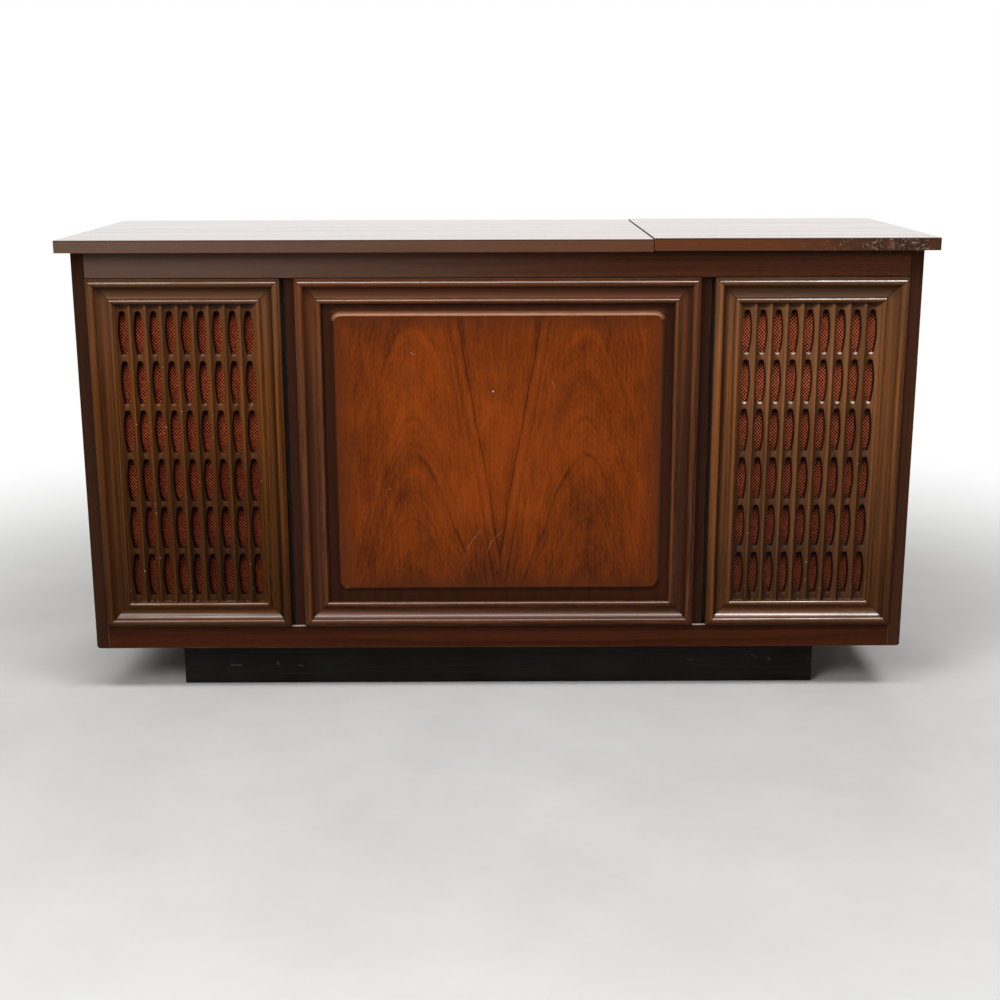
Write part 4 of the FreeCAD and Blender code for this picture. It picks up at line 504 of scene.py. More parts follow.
def dark_moulding():
    """Moulding in a red-brown stain, rubbed through along its beads, with glaze and painted shade in its hollows,
    uprights painted lighter towards the top and painted light in the top length's cove.
    """
    made, tree, shader = new_finish("moulding_stain_and_painted_light")
    vector, share, mitre, upright, low_length, top_length = mitred(tree, 0.0, CENTRE_HALF)
    wood = grained(tree, vector, (0.128, 0.041, 0.0145), (0.044, 0.0132, 0.0052), (0.012, 0.005, 0.003), 0.022, 0.35,
                   0.5, 0.4)
    crest = tree.ramped(share, [(0.0, 0.2), (0.14, 0.9), (0.24, 0.8), (0.34, 0.0), (0.74, 0.0), (0.84, 0.7),
                                (0.94, 0.9), (1.0, 0.2)])
    # glaze and painted shade, by share of the section's width: darkest just inside the outer bead, partly a painted
    # shadow under it
    glaze_and_shade = tree.ramped(share, [(0.0, 0.7), (0.08, 0.2), (0.14, 0.0), (0.28, 0.0), (0.35, 1.0), (0.46, 0.6),
                                 (0.66, 0.0), (0.76, 0.8), (0.82, 0.0), (0.95, 0.0), (1.0, 0.8)])
    glaze_and_shade = tree.between(low_length, glaze_and_shade, tree.ramped(share, LOW_GLAZE_AND_SHADE))
    stain_with_painted_light = tree.mixed(glaze_and_shade * 0.62, wood["Color"], (0.012, 0.0045, 0.0025))
    right_leg = tree.ranged(tree.split(tree.here())[0], 0.15, 0.30, 0.0, 0.22, smooth=True)
    stain_with_painted_light = tree.mixed(right_leg, stain_with_painted_light, (0.010, 0.004, 0.002))
    stain_with_painted_light = lit_from_above(tree, upright, stain_with_painted_light, [0.41, 0.43, 0.42, 0.445, 0.46, 0.55, 0.66])
    stain_with_painted_light = lit_cove(tree, share, top_length, stain_with_painted_light, (0.20, 0.078, 0.040))
    rub = tree.ranged(tree.streaks(vector, (9.0, 300.0, 300.0), 4.0, 0.6), 0.42, 0.62)
    colour = tree.mixed(crest * rub * 0.55, stain_with_painted_light, (0.19, 0.065, 0.026))
    worn = edge_worn(tree, colour, (0.30, 0.14, 0.07), 0.5, 0.0015)
    scuffed = scuffed_over(tree, worn, (0.40, 0.26, 0.17), 0.08)
    tree.put(shader["Coat Weight"], moulding_gloss(tree, share, low_length, 0.45, 0.5) * 0.9)
    shader["Coat Roughness"].default_value = 0.27
    shader["Coat IOR"].default_value = 1.95
    return laid(made, tree, shader, tree.mixed(mitre * 0.8, scuffed, (0.008, 0.004, 0.002)),
                tree.ranged(wood["Rough"], 0.0, 1.0, 0.26, 0.44), (wood["Height"], 0.0003, 0.3), 0.05)


def glazed_colour(tree, vector, glaze_and_shade, pale, deep):
    """Moulded grain darkened by antique glaze and painted shade where its mask is high, and browner towards the top."""
    wood = grained(tree, vector, pale, deep, (0.018, 0.007, 0.002), 0.012, 0.3, 0.95, 0.25)
    z = tree.split(tree.here())[2]
    high_up = tree.ranged(z, 0.48, 0.66, smooth=True) * 0.55
    browner = tree.mixed(high_up, wood["Color"], (0.090, 0.042, 0.020))
    return tree.mixed(glaze_and_shade * 0.88, browner, (0.014, 0.006, 0.0025)), wood


def grille_moulding(name, middle_x, pale, deep, lit_colour, shine, dull_end, low_bead, low_cove, coat_index):
    """A grille's frame: streaky glaze with painted shade in its hollows, bright beads, dark mitre lines, top and bottom
    lengths browner partly as painted shade, uprights painted lighter towards the top and painted light in the top
    length's cove.
    """
    made, tree, shader = new_finish(name)
    vector, share, mitre, upright, low_length, top_length = mitred(tree, middle_x, GRILLE_HALF)
    x = tree.split(tree.here())[0]
    out_from_middle = tree.maths("ABSOLUTE", x)
    outer_leg = upright * tree.maths("GREATER_THAN", out_from_middle, GRILLE_MID)
    # glaze and painted shade, by share of the section's width: darkest just inside the outer bead, partly a painted
    # shadow under it
    glaze_and_shade = tree.ramped(share, [(0.0, 0.7), (0.06, 0.3), (0.14, 0.0), (0.27, 0.0), (0.34, 1.0), (0.44, 0.75),
                                 (0.60, 0.15), (0.72, 0.0), (0.775, 0.8), (0.83, 0.1), (0.95, 0.0), (1.0, 0.8)])
    glaze_and_shade = tree.between(low_length, glaze_and_shade, tree.ramped(share, LOW_GLAZE_AND_SHADE))
    glaze_and_shade = glaze_and_shade * (1.0 - outer_leg * 0.65)
    colour, wood = glazed_colour(tree, vector, glaze_and_shade, pale, deep)
    # horizontal lengths mixed browner than the uprights: partly the wood's own change of tone at the mitre, partly
    # painted shade
    colour = tree.mixed(tree.ranged(upright, 0.0, 1.0, 0.45, 0.0), colour, (0.062, 0.024, 0.009))
    colour = tree.mixed(outer_leg * 0.30, colour, (0.030, 0.012, 0.005))
    colour = lit_from_above(tree, upright, colour, [0.28, 0.375, 0.435, 0.485, 0.51, 0.56, 0.675])
    colour = lit_cove(tree, share, top_length, colour, lit_colour)
    worn = edge_worn(tree, colour, (0.30, 0.15, 0.06), 0.35, 0.0015)
    patchy = tree.ranged(tree.streaks(vector, (14.0, 90.0, 90.0), 3.0), 0.35, 0.60, 0.55, 1.0)
    gloss = moulding_gloss(tree, share, low_length, low_bead, low_cove)
    to_the_right = tree.ranged(x, middle_x - 0.165, middle_x + 0.02, dull_end, 1.0)
    gloss = gloss * tree.between(top_length, 1.0, to_the_right)
    tree.put(shader["Coat Weight"], gloss * (patchy * shine))
    shader["Coat Roughness"].default_value = 0.24
    shader["Coat IOR"].default_value = coat_index
    return laid(made, tree, shader, tree.mixed(mitre * 0.8, worn, (0.008, 0.004, 0.002)),
                tree.ranged(wood["Rough"], 0.0, 1.0, 0.24, 0.42), (wood["Height"], 0.0003, 0.3), 0.05)


def grille_panel_finish(name, pale, deep, lip_wear_and_highlight_colour, lip_from, rows):
    """A fluted panel: gold on the ridges, dark glaze in the flutes with painted shade on faces turned to the right,
    painted shade set row by row and darker towards the bottom, a painted shadow under the top bead, hole walls near
    black from stain and painted shade, and pale lips under the holes that are partly wear and partly a painted
    highlight.
    """
    made, tree, shader = new_finish(name)
    x, y, z = tree.split(tree.here())
    right_way, _, up_way = tree.split(tree.facing())
    sunk = tree.ranged(y, RIDGE_Y, VALLEY_Y)
    # painted shade on the faces turned to the right
    right_facing_painted_shade = tree.ranged(right_way, 0.05, 0.45, 0.0, 0.75)
    colour, wood = glazed_colour(tree, tree.joined(z, x, y), tree.maths("MAXIMUM", sunk * 0.35, right_facing_painted_shade), pale, deep)
    # painted shade: each row of holes scaled by its level, darker towards the bottom
    colour = tree.mixed(tree.by_rows(z, rows), BLACK, colour)
    # painted shadow under the top bead, reaching lower in the deeper flutes
    bead_shadow_at = (PANEL_HIGH - 0.0030) - sunk * 0.0052
    corner = tree.ranged(z - bead_shadow_at, -0.0016, 0.0018)
    colour = tree.mixed(corner * 0.72, colour, (0.007, 0.004, 0.002))
    # hole walls near black: partly a dark stain, partly painted shade inside the holes
    inside = tree.ranged(y, VALLEY_Y + 0.0002, VALLEY_Y + 0.002)
    colour = tree.mixed(inside * 0.95, colour, (0.005, 0.003, 0.002))
    # pale lips on the upward faces of the hole rims in the upper rows: partly wear, partly a painted highlight
    lip_wear_and_highlight = tree.ranged(up_way, 0.50, 0.80) * tree.maths("GREATER_THAN", y, VALLEY_Y - 0.002)
    rubbed = tree.ranged(tree.noise(tree.here(), 90.0, 2.0), 0.35, 0.6, 0.5, 1.0)
    rubbed = rubbed * tree.ranged(z, lip_from, lip_from + 0.06, 0.05, 1.0)
    colour = tree.mixed(lip_wear_and_highlight * rubbed, colour, lip_wear_and_highlight_colour)
    broken = tree.ranged(tree.noise(tree.here(), 160.0, 2.0), 0.45, 0.55)
    foot = tree.ranged(z, PANEL_LOW + 0.0026, PANEL_LOW + 0.0014) * broken
    colour = tree.mixed(foot * 0.7, colour, (0.17, 0.105, 0.065))
    speck = tree.ranged(tree.noise(tree.here(), 260.0, 1.0), 0.765, 0.785)
    ridge = tree.maths("LESS_THAN", y, RIDGE_Y + 0.001)
    colour = tree.mixed(speck * ridge, colour, (0.62, 0.55, 0.45))
    tree.put(shader["Coat Weight"], tree.upward() * tree.ranged(z, 0.42, 0.54, 0.15, 0.6))
    shader["Coat Roughness"].default_value = 0.26
    return laid(made, tree, shader, colour, tree.ranged(wood["Rough"], 0.0, 1.0, 0.30, 0.5),
                (wood["Height"], 0.0003, 0.3), 0.05)


GLOW_MIDDLE = (-0.03, 0.0, 0.45)
DARK_MIDDLE = (0.005, 0.0, 0.19)
DRILLED_HOLE = (-0.0030, 0.0, 0.2114)
NICK = (-0.0082, 0.0, 0.5206)
FIELD_MARKS = [
    ((-0.1419, 0.5852), (-0.1371, 0.5807), 0.0011), ((-0.1371, 0.5807), (-0.1345, 0.5835), 0.0008),
    ((0.0884, 0.5386), (0.0923, 0.5261), 0.0011), ((-0.0530, 0.2538), (-0.0297, 0.2868), 0.0007),
    ((-0.0258, 0.2997), (-0.0258, 0.2990), 0.0011), ((-0.0164, 0.2536), (-0.0125, 0.2656), 0.0009),
    ((-0.0125, 0.2656), (0.0048, 0.2835), 0.0007), ((-0.1799, 0.3552), (-0.1795, 0.3580), 0.0012),
    ((0.2512, 0.3459), (0.2540, 0.3470), 0.0008), ((0.0997, 0.3290), (0.0997, 0.3284), 0.0011),
    ((-0.2578, 0.1861), (-0.2532, 0.1863), 0.0012),
]


def field_veneer():
    """Book-matched walnut on the raised field: a flame and arches mirrored about the seam, painted shade towards the
    field's edges, a painted highlight on its bevel, painted light on the bevel's right side and on the border just
    above the field, and a border under a dark stain.
    """
    made, tree, shader = new_finish("matched_veneer")
    here = tree.here()
    x, y, z = tree.split(here)
    out_from_seam = tree.maths("ABSOLUTE", x - VENEER_SEAM_X)
    leaf = tree.joined(z, out_from_seam, 0.0)
    whole = tree.joined(z, x, 0.0)
    sway = tree.streaks(leaf, (4.0, 9.0, 1.0), 3.0, 0.55) - 0.5
    thread = tree.streaks(leaf, (6.0, 260.0, 1.0), 3.0, 0.6) - 0.5
    ripple = tree.streaks(whole, (16.0, 40.0, 1.0), 3.0, 0.6) - 0.5
    wave = sway * 0.010 + (thread * 0.0020 + ripple * 0.0035)
    flame_at = out_from_seam - z * 0.167 + wave
    flame = tree.ramped(tree.ranged(flame_at, -0.110, 0.030), [
        (0.00, 0.25), (0.10, 0.32), (0.20, 0.16), (0.30, 0.30), (0.36, 0.14), (0.44, 0.28), (0.482, 0.40),
        (0.4986, 1.0), (0.513, 0.22), (0.543, 0.0), (0.575, 0.05), (0.615, 0.42), (0.64, 0.12), (0.70, 0.22),
        (0.74, 0.05), (0.80, 0.12), (0.90, 0.0), (1.00, 0.0)])
    off_axis = out_from_seam - 0.145
    spread = off_axis * tree.between(tree.maths("GREATER_THAN", off_axis, 0.0), 1.0, 1.25)
    arch_at = tree.maths("SQRT", spread * spread + 0.0025) + z * 0.30 + wave * 1.7
    arches = tree.ramped(tree.ranged(arch_at, 0.100, 0.260), [
        (0.00, 0.10), (0.10, 0.24), (0.14, 0.05), (0.22, 0.10), (0.30, 0.26), (0.325, 0.24), (0.35, 0.10), (0.40, 0.16),
        (0.446, 0.25), (0.4625, 1.0), (0.479, 0.15), (0.52, 0.05), (0.60, 0.0), (0.68, 0.12), (0.735, 0.28),
        (0.755, 0.24), (0.775, 0.10), (0.86, 0.05), (0.92, 0.24), (0.95, 0.05), (1.00, 0.0)])
    come_and_go = tree.streaks(whole, (9.0, 22.0, 1.0), 3.0, shift=(0.3, 0.9, 0.0))
    come_and_go = tree.ranged(come_and_go, 0.36, 0.62, 0.32, 0.85)
    inner_flank = tree.ranged(off_axis, -0.01, 0.05, 1.0, 0.45)
    lines = tree.maths("MAXIMUM", flame, arches * (come_and_go * inner_flank))
    outer = tree.ranged(flame_at, -0.012, 0.022)
    streak = tree.between(outer, tree.streaks(tree.joined(z, flame_at, 0.0), (7.0, 230.0, 1.0), 4.0, 0.62),
                          tree.streaks(tree.joined(z, arch_at, 0.0), (7.0, 170.0, 1.0), 4.0, 0.62))
    cloud = tree.streaks(whole, (5.0, 9.0, 1.0), 4.0, 0.6, shift=(0.7, 0.2, 0.0))
    fleck = tree.ranged(tree.streaks(leaf, (110.0, 1100.0, 1.0), 2.0, 0.6), 0.50, 0.70)
    mottle = tree.streaks(whole, (24.0, 60.0, 1.0), 4.0, 0.65, shift=(0.1, 0.4, 0.0))
    hair = tree.streaks(whole, (9.0, 290.0, 1.0), 2.0, 0.6, shift=(0.2, 0.6, 0.0))
    speck = tree.streaks(whole, (150.0, 330.0, 1.0), 2.0, 0.6, shift=(0.5, 0.3, 0.0))
    glow = tree.ranged(tree.from_point(GLOW_MIDDLE), 0.02, 0.20, 0.22, 0.0, smooth=True)
    depth = lines * 0.78 + (streak - 0.5) * 0.85 + (mottle - 0.5) * 0.75 + ((cloud - 0.5) * 1.4 + 0.24)
    depth = depth + (hair - 0.5) * 0.75 + (speck - 0.5) * 0.55 - glow
    low_dark = tree.ranged(z, 0.36, 0.17, 0.0, 0.22, smooth=True)
    left_dark = tree.ranged(x, -0.04, -0.22, 0.0, 0.22, smooth=True)
    right_dark = tree.ranged(x, 0.04, 0.20, 0.0, 0.20, smooth=True)
    top_dark = tree.ranged(z, 0.55, 0.64, 0.0, 0.14, smooth=True)
    low_middle = tree.ranged(tree.from_point(DARK_MIDDLE), 0.05, 0.17, 0.17, 0.0, smooth=True)
    aside = left_dark + right_dark + (low_dark + low_middle + top_dark)
    depth = tree.maths("ADD", depth, aside, clamp=True)
    veneer = tree.mixed(depth, (0.246, 0.0445, 0.0038), (0.056, 0.0118, 0.0027))
    veneer = tree.mixed(fleck * 0.42, veneer, (0.050, 0.012, 0.004))
    wide = tree.maths("ABSOLUTE", x) - (FIELD_HALF - FIELD_CORNER)
    tall = tree.maths("ABSOLUTE", z - FIELD_MIDDLE) - ((FIELD_HIGH - FIELD_LOW) / 2 - FIELD_CORNER)
    corner = tree.maths("SQRT", tree.maths("POWER", tree.maths("MAXIMUM", wide, 0.0), 2.0)
                        + tree.maths("POWER", tree.maths("MAXIMUM", tall, 0.0), 2.0))
    beyond = corner + tree.maths("MINIMUM", tree.maths("MAXIMUM", wide, tall), 0.0)
    edge = beyond - FIELD_CORNER
    border_wood = grained(tree, tree.joined(z, x, y), (0.042, 0.0118, 0.0040), (0.018, 0.0052, 0.0022),
                          (0.010, 0.004, 0.002), 0.03, 0.3, 0.4, 0.3)
    border = tree.ranged(edge, -0.0085, -0.0055)
    shaded = tree.mixed(tree.ranged(edge, -0.044, -0.006, 0.0, 0.62, smooth=True), veneer, (0.070, 0.017, 0.0055))
    # painted highlight on the field's upward-facing bevel, broken up along it by streaks
    rubbed = tree.ranged(tree.streaks(tree.joined(x, z, 0.0), (45.0, 600.0, 1.0), 3.0, 0.6), 0.3, 0.7, 0.55, 1.0)
    bevel = tree.upward() * rubbed * tree.ranged(edge, -0.0045, 0.0, 1.0, 0.3)
    rim = tree.mixed(bevel, border_wood["Color"], (0.480, 0.225, 0.125))
    # painted light on the bevel along the field's right side
    on_right = tree.maths("GREATER_THAN", x, 0.0) * tree.maths("LESS_THAN", tall, 0.0)
    right_bevel_painted_light = on_right * tree.ranged(edge, -0.0055, -0.001, 0.6, 0.0)
    rim = tree.mixed(right_bevel_painted_light, rim, (0.085, 0.036, 0.018))
    # painted light on the border just above the field, fading away from the bevel
    above = tree.maths("GREATER_THAN", tall, FIELD_CORNER - 0.003) * tree.maths("GREATER_THAN", z, FIELD_MIDDLE)
    rim = tree.mixed(above * tree.ranged(edge, 0.0, 0.009, 0.7, 0.0), rim, (0.092, 0.032, 0.013))
    colour = tree.mixed(border, shaded, rim)
    scuffed = scuffed_over(tree, colour, (0.36, 0.17, 0.09), 0.02)
    pit = tree.ranged(tree.from_point(DRILLED_HOLE), 0.0015, 0.0024, 1.0, 0.0)
    from_nick = tree.from_point(NICK)
    chip = tree.ranged(from_nick, 0.0008, 0.0016, 1.0, 0.0)
    bruise = tree.ranged(from_nick, 0.004, 0.026, 0.35, 0.0)
    mark = front_marks(tree, FIELD_MARKS)
    colour = tree.mixed(bruise, scuffed, (0.055, 0.014, 0.005))
    broken = tree.ranged(tree.noise(here, 380.0, 2.0), 0.36, 0.58, 0.05, 0.75)
    colour = tree.mixed(mark * broken, colour, (0.40, 0.17, 0.10))
    colour = tree.mixed(pit, colour, (0.006, 0.005, 0.005))
    colour = tree.mixed(chip, colour, (0.62, 0.50, 0.38))
    rough = tree.ranged(fleck, 0.0, 1.0, 0.36, 0.5) + streak * 0.08
    dents = (pit + chip + mark * 0.5) * 4.0
    height = streak * 0.3 - (fleck + dents)
    return laid(made, tree, shader, colour, rough, (height, 0.0002, 0.3), 0.05)


def plain_wood(name, order, pale, deep):
    """Dull unlacquered board inside the case."""
    made, tree, shader = new_finish(name)
    axes = dict(zip("xyz", tree.split(tree.here())))
    vector = tree.joined(*(axes[letter] for letter in order))
    wood = grained(tree, vector, pale, deep, (0.02, 0.012, 0.008), 0.035, 0.3, 0.5, 0.35)
    worn = edge_worn(tree, wood["Color"], (0.32, 0.22, 0.14), 0.5, 0.002)
    return laid(made, tree, shader, worn, tree.ranged(wood["Rough"], 0.0, 1.0, 0.6, 0.85),
                (wood["Height"], 0.0004, 0.4))


PLINTH_MARKS = [
    ((-0.4650, 0.0330), (-0.4480, 0.0322), 0.0024), ((-0.3835, 0.0375), (-0.3830, 0.0340), 0.0034),
    ((-0.3480, 0.0315), (-0.3400, 0.0300), 0.0016), ((0.4390, 0.0475), (0.4490, 0.0430), 0.0012),
    ((0.4700, 0.0420), (0.4710, 0.0385), 0.0028), ((0.3280, 0.0400), (0.3390, 0.0385), 0.0012),
]


def black_paint():
    """Black paint brushed over grained wood, rubbed brown at the edges, scuffed near the floor and dented in front."""
    made, tree, shader = new_finish("plinth_black")
    here = tree.here()
    _, y, z = tree.split(here)
    brush = tree.streaks(here, (6.0, 200.0, 500.0), 3.0, 0.6)
    grain = tree.streaks(here, (9.0, 60.0, 260.0), 5.0, 0.65)
    cloud = tree.noise(here, 7.0, 4.0, 0.6)
    colour = tree.mixed(tree.ranged(cloud, 0.35, 0.7), (0.0040, 0.0030, 0.0022), (0.0105, 0.0080, 0.0055))
    colour = tree.mixed(tree.ranged(grain, 0.48, 0.74, 0.0, 0.55), colour, (0.019, 0.0135, 0.009))
    worn = edge_worn(tree, colour, (0.075, 0.048, 0.032), 0.7, 0.003)
    low = tree.ranged(z, 0.035, 0.0, 0.0, 0.35)
    scuffed = scuffed_over(tree, worn, (0.10, 0.085, 0.07), low + 0.12)
    dent = front_marks(tree, PLINTH_MARKS) * tree.maths("LESS_THAN", y, PLINTH_FRONT_Y)
    return laid(made, tree, shader, tree.mixed(dent * 0.5, scuffed, (0.080, 0.070, 0.060)),
                tree.ranged(brush, 0.3, 0.7, 0.45, 0.68), (brush - dent * 3.0, 0.0004, 0.35), 0.12)


def hardboard():
    """Bare pressed hardboard: fibres, blotches and paler worn edges."""
    made, tree, shader = new_finish("hardboard_brown")
    here = tree.here()
    fibre = tree.streaks(here, (420.0, 420.0, 160.0), 5.0, 0.7, 0.6)
    blotch = tree.noise(here, 5.0, 4.0, 0.6)
    colour = tree.mixed(tree.ranged(fibre, 0.3, 0.7), (0.085, 0.045, 0.022), (0.20, 0.115, 0.058))
    colour = tree.mixed(tree.ranged(blotch, 0.35, 0.75, 0.0, 0.45), colour, (0.075, 0.040, 0.021))
    worn = edge_worn(tree, colour, (0.27, 0.18, 0.10), 0.6, 0.0015)
    scuffed = scuffed_over(tree, worn, (0.32, 0.23, 0.15), 0.1)
    return laid(made, tree, shader, scuffed, tree.ranged(fibre, 0.3, 0.7, 0.55, 0.8), (fibre, 0.0003, 0.5))


# ---------------------------------------------------------------- metal, plastic and other finishes

def moulded(name, pale, dark, rough, specular=0.5, grain=700.0, height=0.00012):
    """Plastic, paint or rubber: a fine moulded grain, slight blotches, rubbed edges."""
    made, tree, shader = new_finish(name)
    here = tree.here()
    fine = tree.noise(here, grain, 2.0, 0.6)
    blotch = tree.noise(here, 22.0, 4.0, 0.6)
    colour = tree.mixed(tree.ranged(blotch, 0.3, 0.7), dark, pale)
    rubbed = tuple(min(1.0, 2.2 * level + 0.02) for level in pale)
    worn = edge_worn(tree, colour, rubbed, 0.45, 0.0008)
    return laid(made, tree, shader, worn, tree.ranged(fine + blotch, 0.6, 1.4, rough - 0.07, rough + 0.1),
                (fine, height, 0.4), specular)


def metal(name, pale, dark, rough, brush=(900.0, 30.0, 900.0)):
    """Metal with brushing along one axis and cloudy tarnish."""
    made, tree, shader = new_finish(name)
    here = tree.here()
    line = tree.streaks(here, brush, 3.0, 0.6)
    cloud = tree.noise(here, 30.0, 4.0, 0.6)
    colour = tree.mixed(tree.ranged(cloud + (line - 0.5) * 0.6, 0.3, 0.7), dark, pale)
    shader["Metallic"].default_value = 1.0
    return laid(made, tree, shader, colour, tree.ranged(line + cloud, 0.6, 1.4, rough - 0.06, rough + 0.12),
                (line, 0.00005, 0.3))


def clear_glass():
    """The dial's clear glass, slightly smeared."""
    made, tree, shader = new_finish("dial_clear")
    smear = tree.streaks(tree.here(), (12.0, 30.0, 12.0), 4.0, 0.6)
    tree.put(shader["Base Color"], tree.mixed(smear, (0.90, 0.95, 0.92), (0.98, 0.99, 0.98)))
    tree.put(shader["Roughness"], tree.ranged(smear, 0.4, 0.7, 0.015, 0.06))
    shader["Transmission Weight"].default_value = 1.0
    shader["IOR"].default_value = 1.5
    return made


def cone_paper():
    """Black pressed paper of the loudspeaker cones."""
    made, tree, shader = new_finish("pressed_paper")
    here = tree.here()
    fibre = tree.noise(here, 500.0, 4.0, 0.7, 1.0)
    return laid(made, tree, shader,
                tree.mixed(tree.ranged(fibre, 0.3, 0.7), (0.012, 0.011, 0.010), (0.045, 0.042, 0.038)),
                tree.ranged(fibre, 0.3, 0.7, 0.75, 0.95), (fibre, 0.0003, 0.5))


def woven_cloth(name, dull, bright, faded, rows):
    """Loudspeaker cloth: staggered red and orange threads on black, with a painted shadow high in each opening and
    painted shade set row by row, darker towards the bottom.
    """
    made, tree, shader = new_finish(name)
    place = tree.level("UVMap", uv_map="weave")
    across, up, _ = tree.split(place)
    z = tree.split(tree.here())[2]
    column = tree.maths("DIVIDE", across, THREAD_ACROSS)
    row = tree.maths("DIVIDE", up, THREAD_UP)
    shake = (tree.streaks(place, (300.0, 300.0, 1.0), 1.0) - 0.5) * 0.25
    crossing = tree.maths("COSINE", (column + shake) * math.tau) * tree.maths("COSINE", (row + shake) * math.tau)
    thread = tree.ranged(crossing, 0.09, -0.22)
    one_thread = tree.joined(tree.maths("FLOOR", column * 2.0), tree.maths("FLOOR", row * 2.0), 0.0)
    each = tree.level("TexWhiteNoise", {"Vector": one_thread})
    fade = tree.streaks(place, (26.0, 14.0, 1.0), 3.0)
    ply = tree.streaks(place, (4000.0, 900.0, 1.0), 1.0)
    red = tree.mixed(each, dull, bright)
    red = tree.mixed(tree.ranged(fade, 0.38, 0.66), tree.mixed(faded, red, (0.14, 0.018, 0.008)), red)
    red = tree.mixed(tree.ranged(ply, 0.3, 0.7, 0.0, 0.8 * faded), red, (0.10, 0.016, 0.008))
    # painted shade: each row of the cloth scaled by its level, darker towards the bottom
    red = tree.mixed(tree.by_rows(z, rows), BLACK, red)
    in_opening = tree.maths("FRACT", tree.maths("DIVIDE", z - (HOLE_FIRST - HOLE_PITCH / 2), HOLE_PITCH))
    # painted shadow high in each opening, under the grille's upper rim
    painted_hole_shadow = tree.ranged(in_opening, 0.76, 0.875, 0.0, 0.94)
    weave = tree.mixed(thread, (0.010, 0.002, 0.001), red)
    return laid(made, tree, shader, tree.mixed(painted_hole_shadow, weave, (0.010, 0.003, 0.002)),
                tree.ranged(ply, 0.2, 0.8, 0.65, 0.9), (thread, 0.0006, 0.2), 0.05)


# ---------------------------------------------------------------- finishes on the CAD nodes

def dress(finish_made, *names):
    """Give CAD nodes a finish in place of the one they came with."""
    for name in names:
        mesh = nodes[name].data
        mesh.materials.clear()
        mesh.materials.append(finish_made)


dress(walnut_top(), "fixed_top", "lid_panel")
SIDE_FACE = ((0.150, 0.050, 0.020), (0.060, 0.0185, 0.0075))
dress(case_walnut("left_side_walnut", "zyx", (0.041, 0.0145, 0.0064), (0.016, 0.0052, 0.0025), SIDE_FACE),
      "left_side_panel")
dress(case_walnut("right_side_walnut", "zyx", (0.066, 0.023, 0.010), (0.025, 0.008, 0.0038), SIDE_FACE),
      "right_side_panel")
dress(case_walnut("top_rail_walnut", "xzy", (0.124, 0.0395, 0.0165), (0.054, 0.0165, 0.007), shade_from=0.733),
      "top_front_rail")
dress(case_walnut("low_rail_walnut", "xzy", (0.070, 0.0165, 0.0042), (0.029, 0.0068, 0.0020), ledge_painted_light=True,
                  joint_colour=(0.110, 0.075, 0.050)), "bottom_front_rail")
dress(case_walnut("stile_walnut", "zxy", (0.044, 0.0135, 0.0058), (0.018, 0.0056, 0.0027)), "front_stiles")
dress(dark_moulding(), "centre_moulding")
LEFT_GLAZE = ((0.170, 0.052, 0.0085), (0.037, 0.0115, 0.0028))
LEFT_PANEL_GLAZE = ((0.217, 0.068, 0.0122), (0.0466, 0.015, 0.0039))
# the right grille's frame and panel colours are paler than the left's: a painted sheen for light reflected on that side
RIGHT_GLAZE_WITH_PAINTED_SHEEN = ((0.273, 0.097, 0.028), (0.070, 0.0245, 0.008))
RIGHT_PANEL_GLAZE_WITH_PAINTED_SHEEN = ((0.345, 0.134, 0.048), (0.094, 0.036, 0.013))
dress(grille_moulding("left_frame_glaze_and_painted_light", -GRILLE_MID, *LEFT_GLAZE, (0.19, 0.090, 0.046), 0.9, 1.0, 0.36, 0.68, 1.82),
      "left_grille_moulding")
dress(grille_moulding("right_frame_glaze_and_painted_light", GRILLE_MID, *RIGHT_GLAZE_WITH_PAINTED_SHEEN, (0.165, 0.092, 0.064), 1.0, 0.4, 0.68, 0.52, 2.6),
      "right_grille_moulding")
dress(grille_panel_finish("left_panel_glaze_and_painted_light", *LEFT_PANEL_GLAZE, (0.20, 0.125, 0.085), 0.40,
                          [1.0, 0.88, 0.71, 0.51, 0.46, 0.37]), "left_grille")
# the right panel's very pale lip colour is mostly a painted highlight
dress(grille_panel_finish("right_panel_glaze_and_painted_light", *RIGHT_PANEL_GLAZE_WITH_PAINTED_SHEEN, (0.80, 0.66, 0.55), 0.44,
                          [0.99, 0.80, 0.51, 0.50, 0.43, 0.29]), "right_grille")
dress(field_veneer(), "centre_panel")
INNER_PALE = (0.17, 0.095, 0.05)
INNER_DEEP = (0.085, 0.045, 0.024)
dress(plain_wood("inner_boards", "xyz", INNER_PALE, INNER_DEEP), "bottom_panel", "back_top_rail", "deck_board")
dress(plain_wood("inner_uprights", "zyx", INNER_PALE, INNER_DEEP), "left_partition", "right_partition")
dress(black_paint(), "plinth_boards")
dress(hardboard(), "back_cover")
dress(cone_paper(), "left_woofer_cone", "right_woofer_cone")
dress(clear_glass(), "dial_glass")

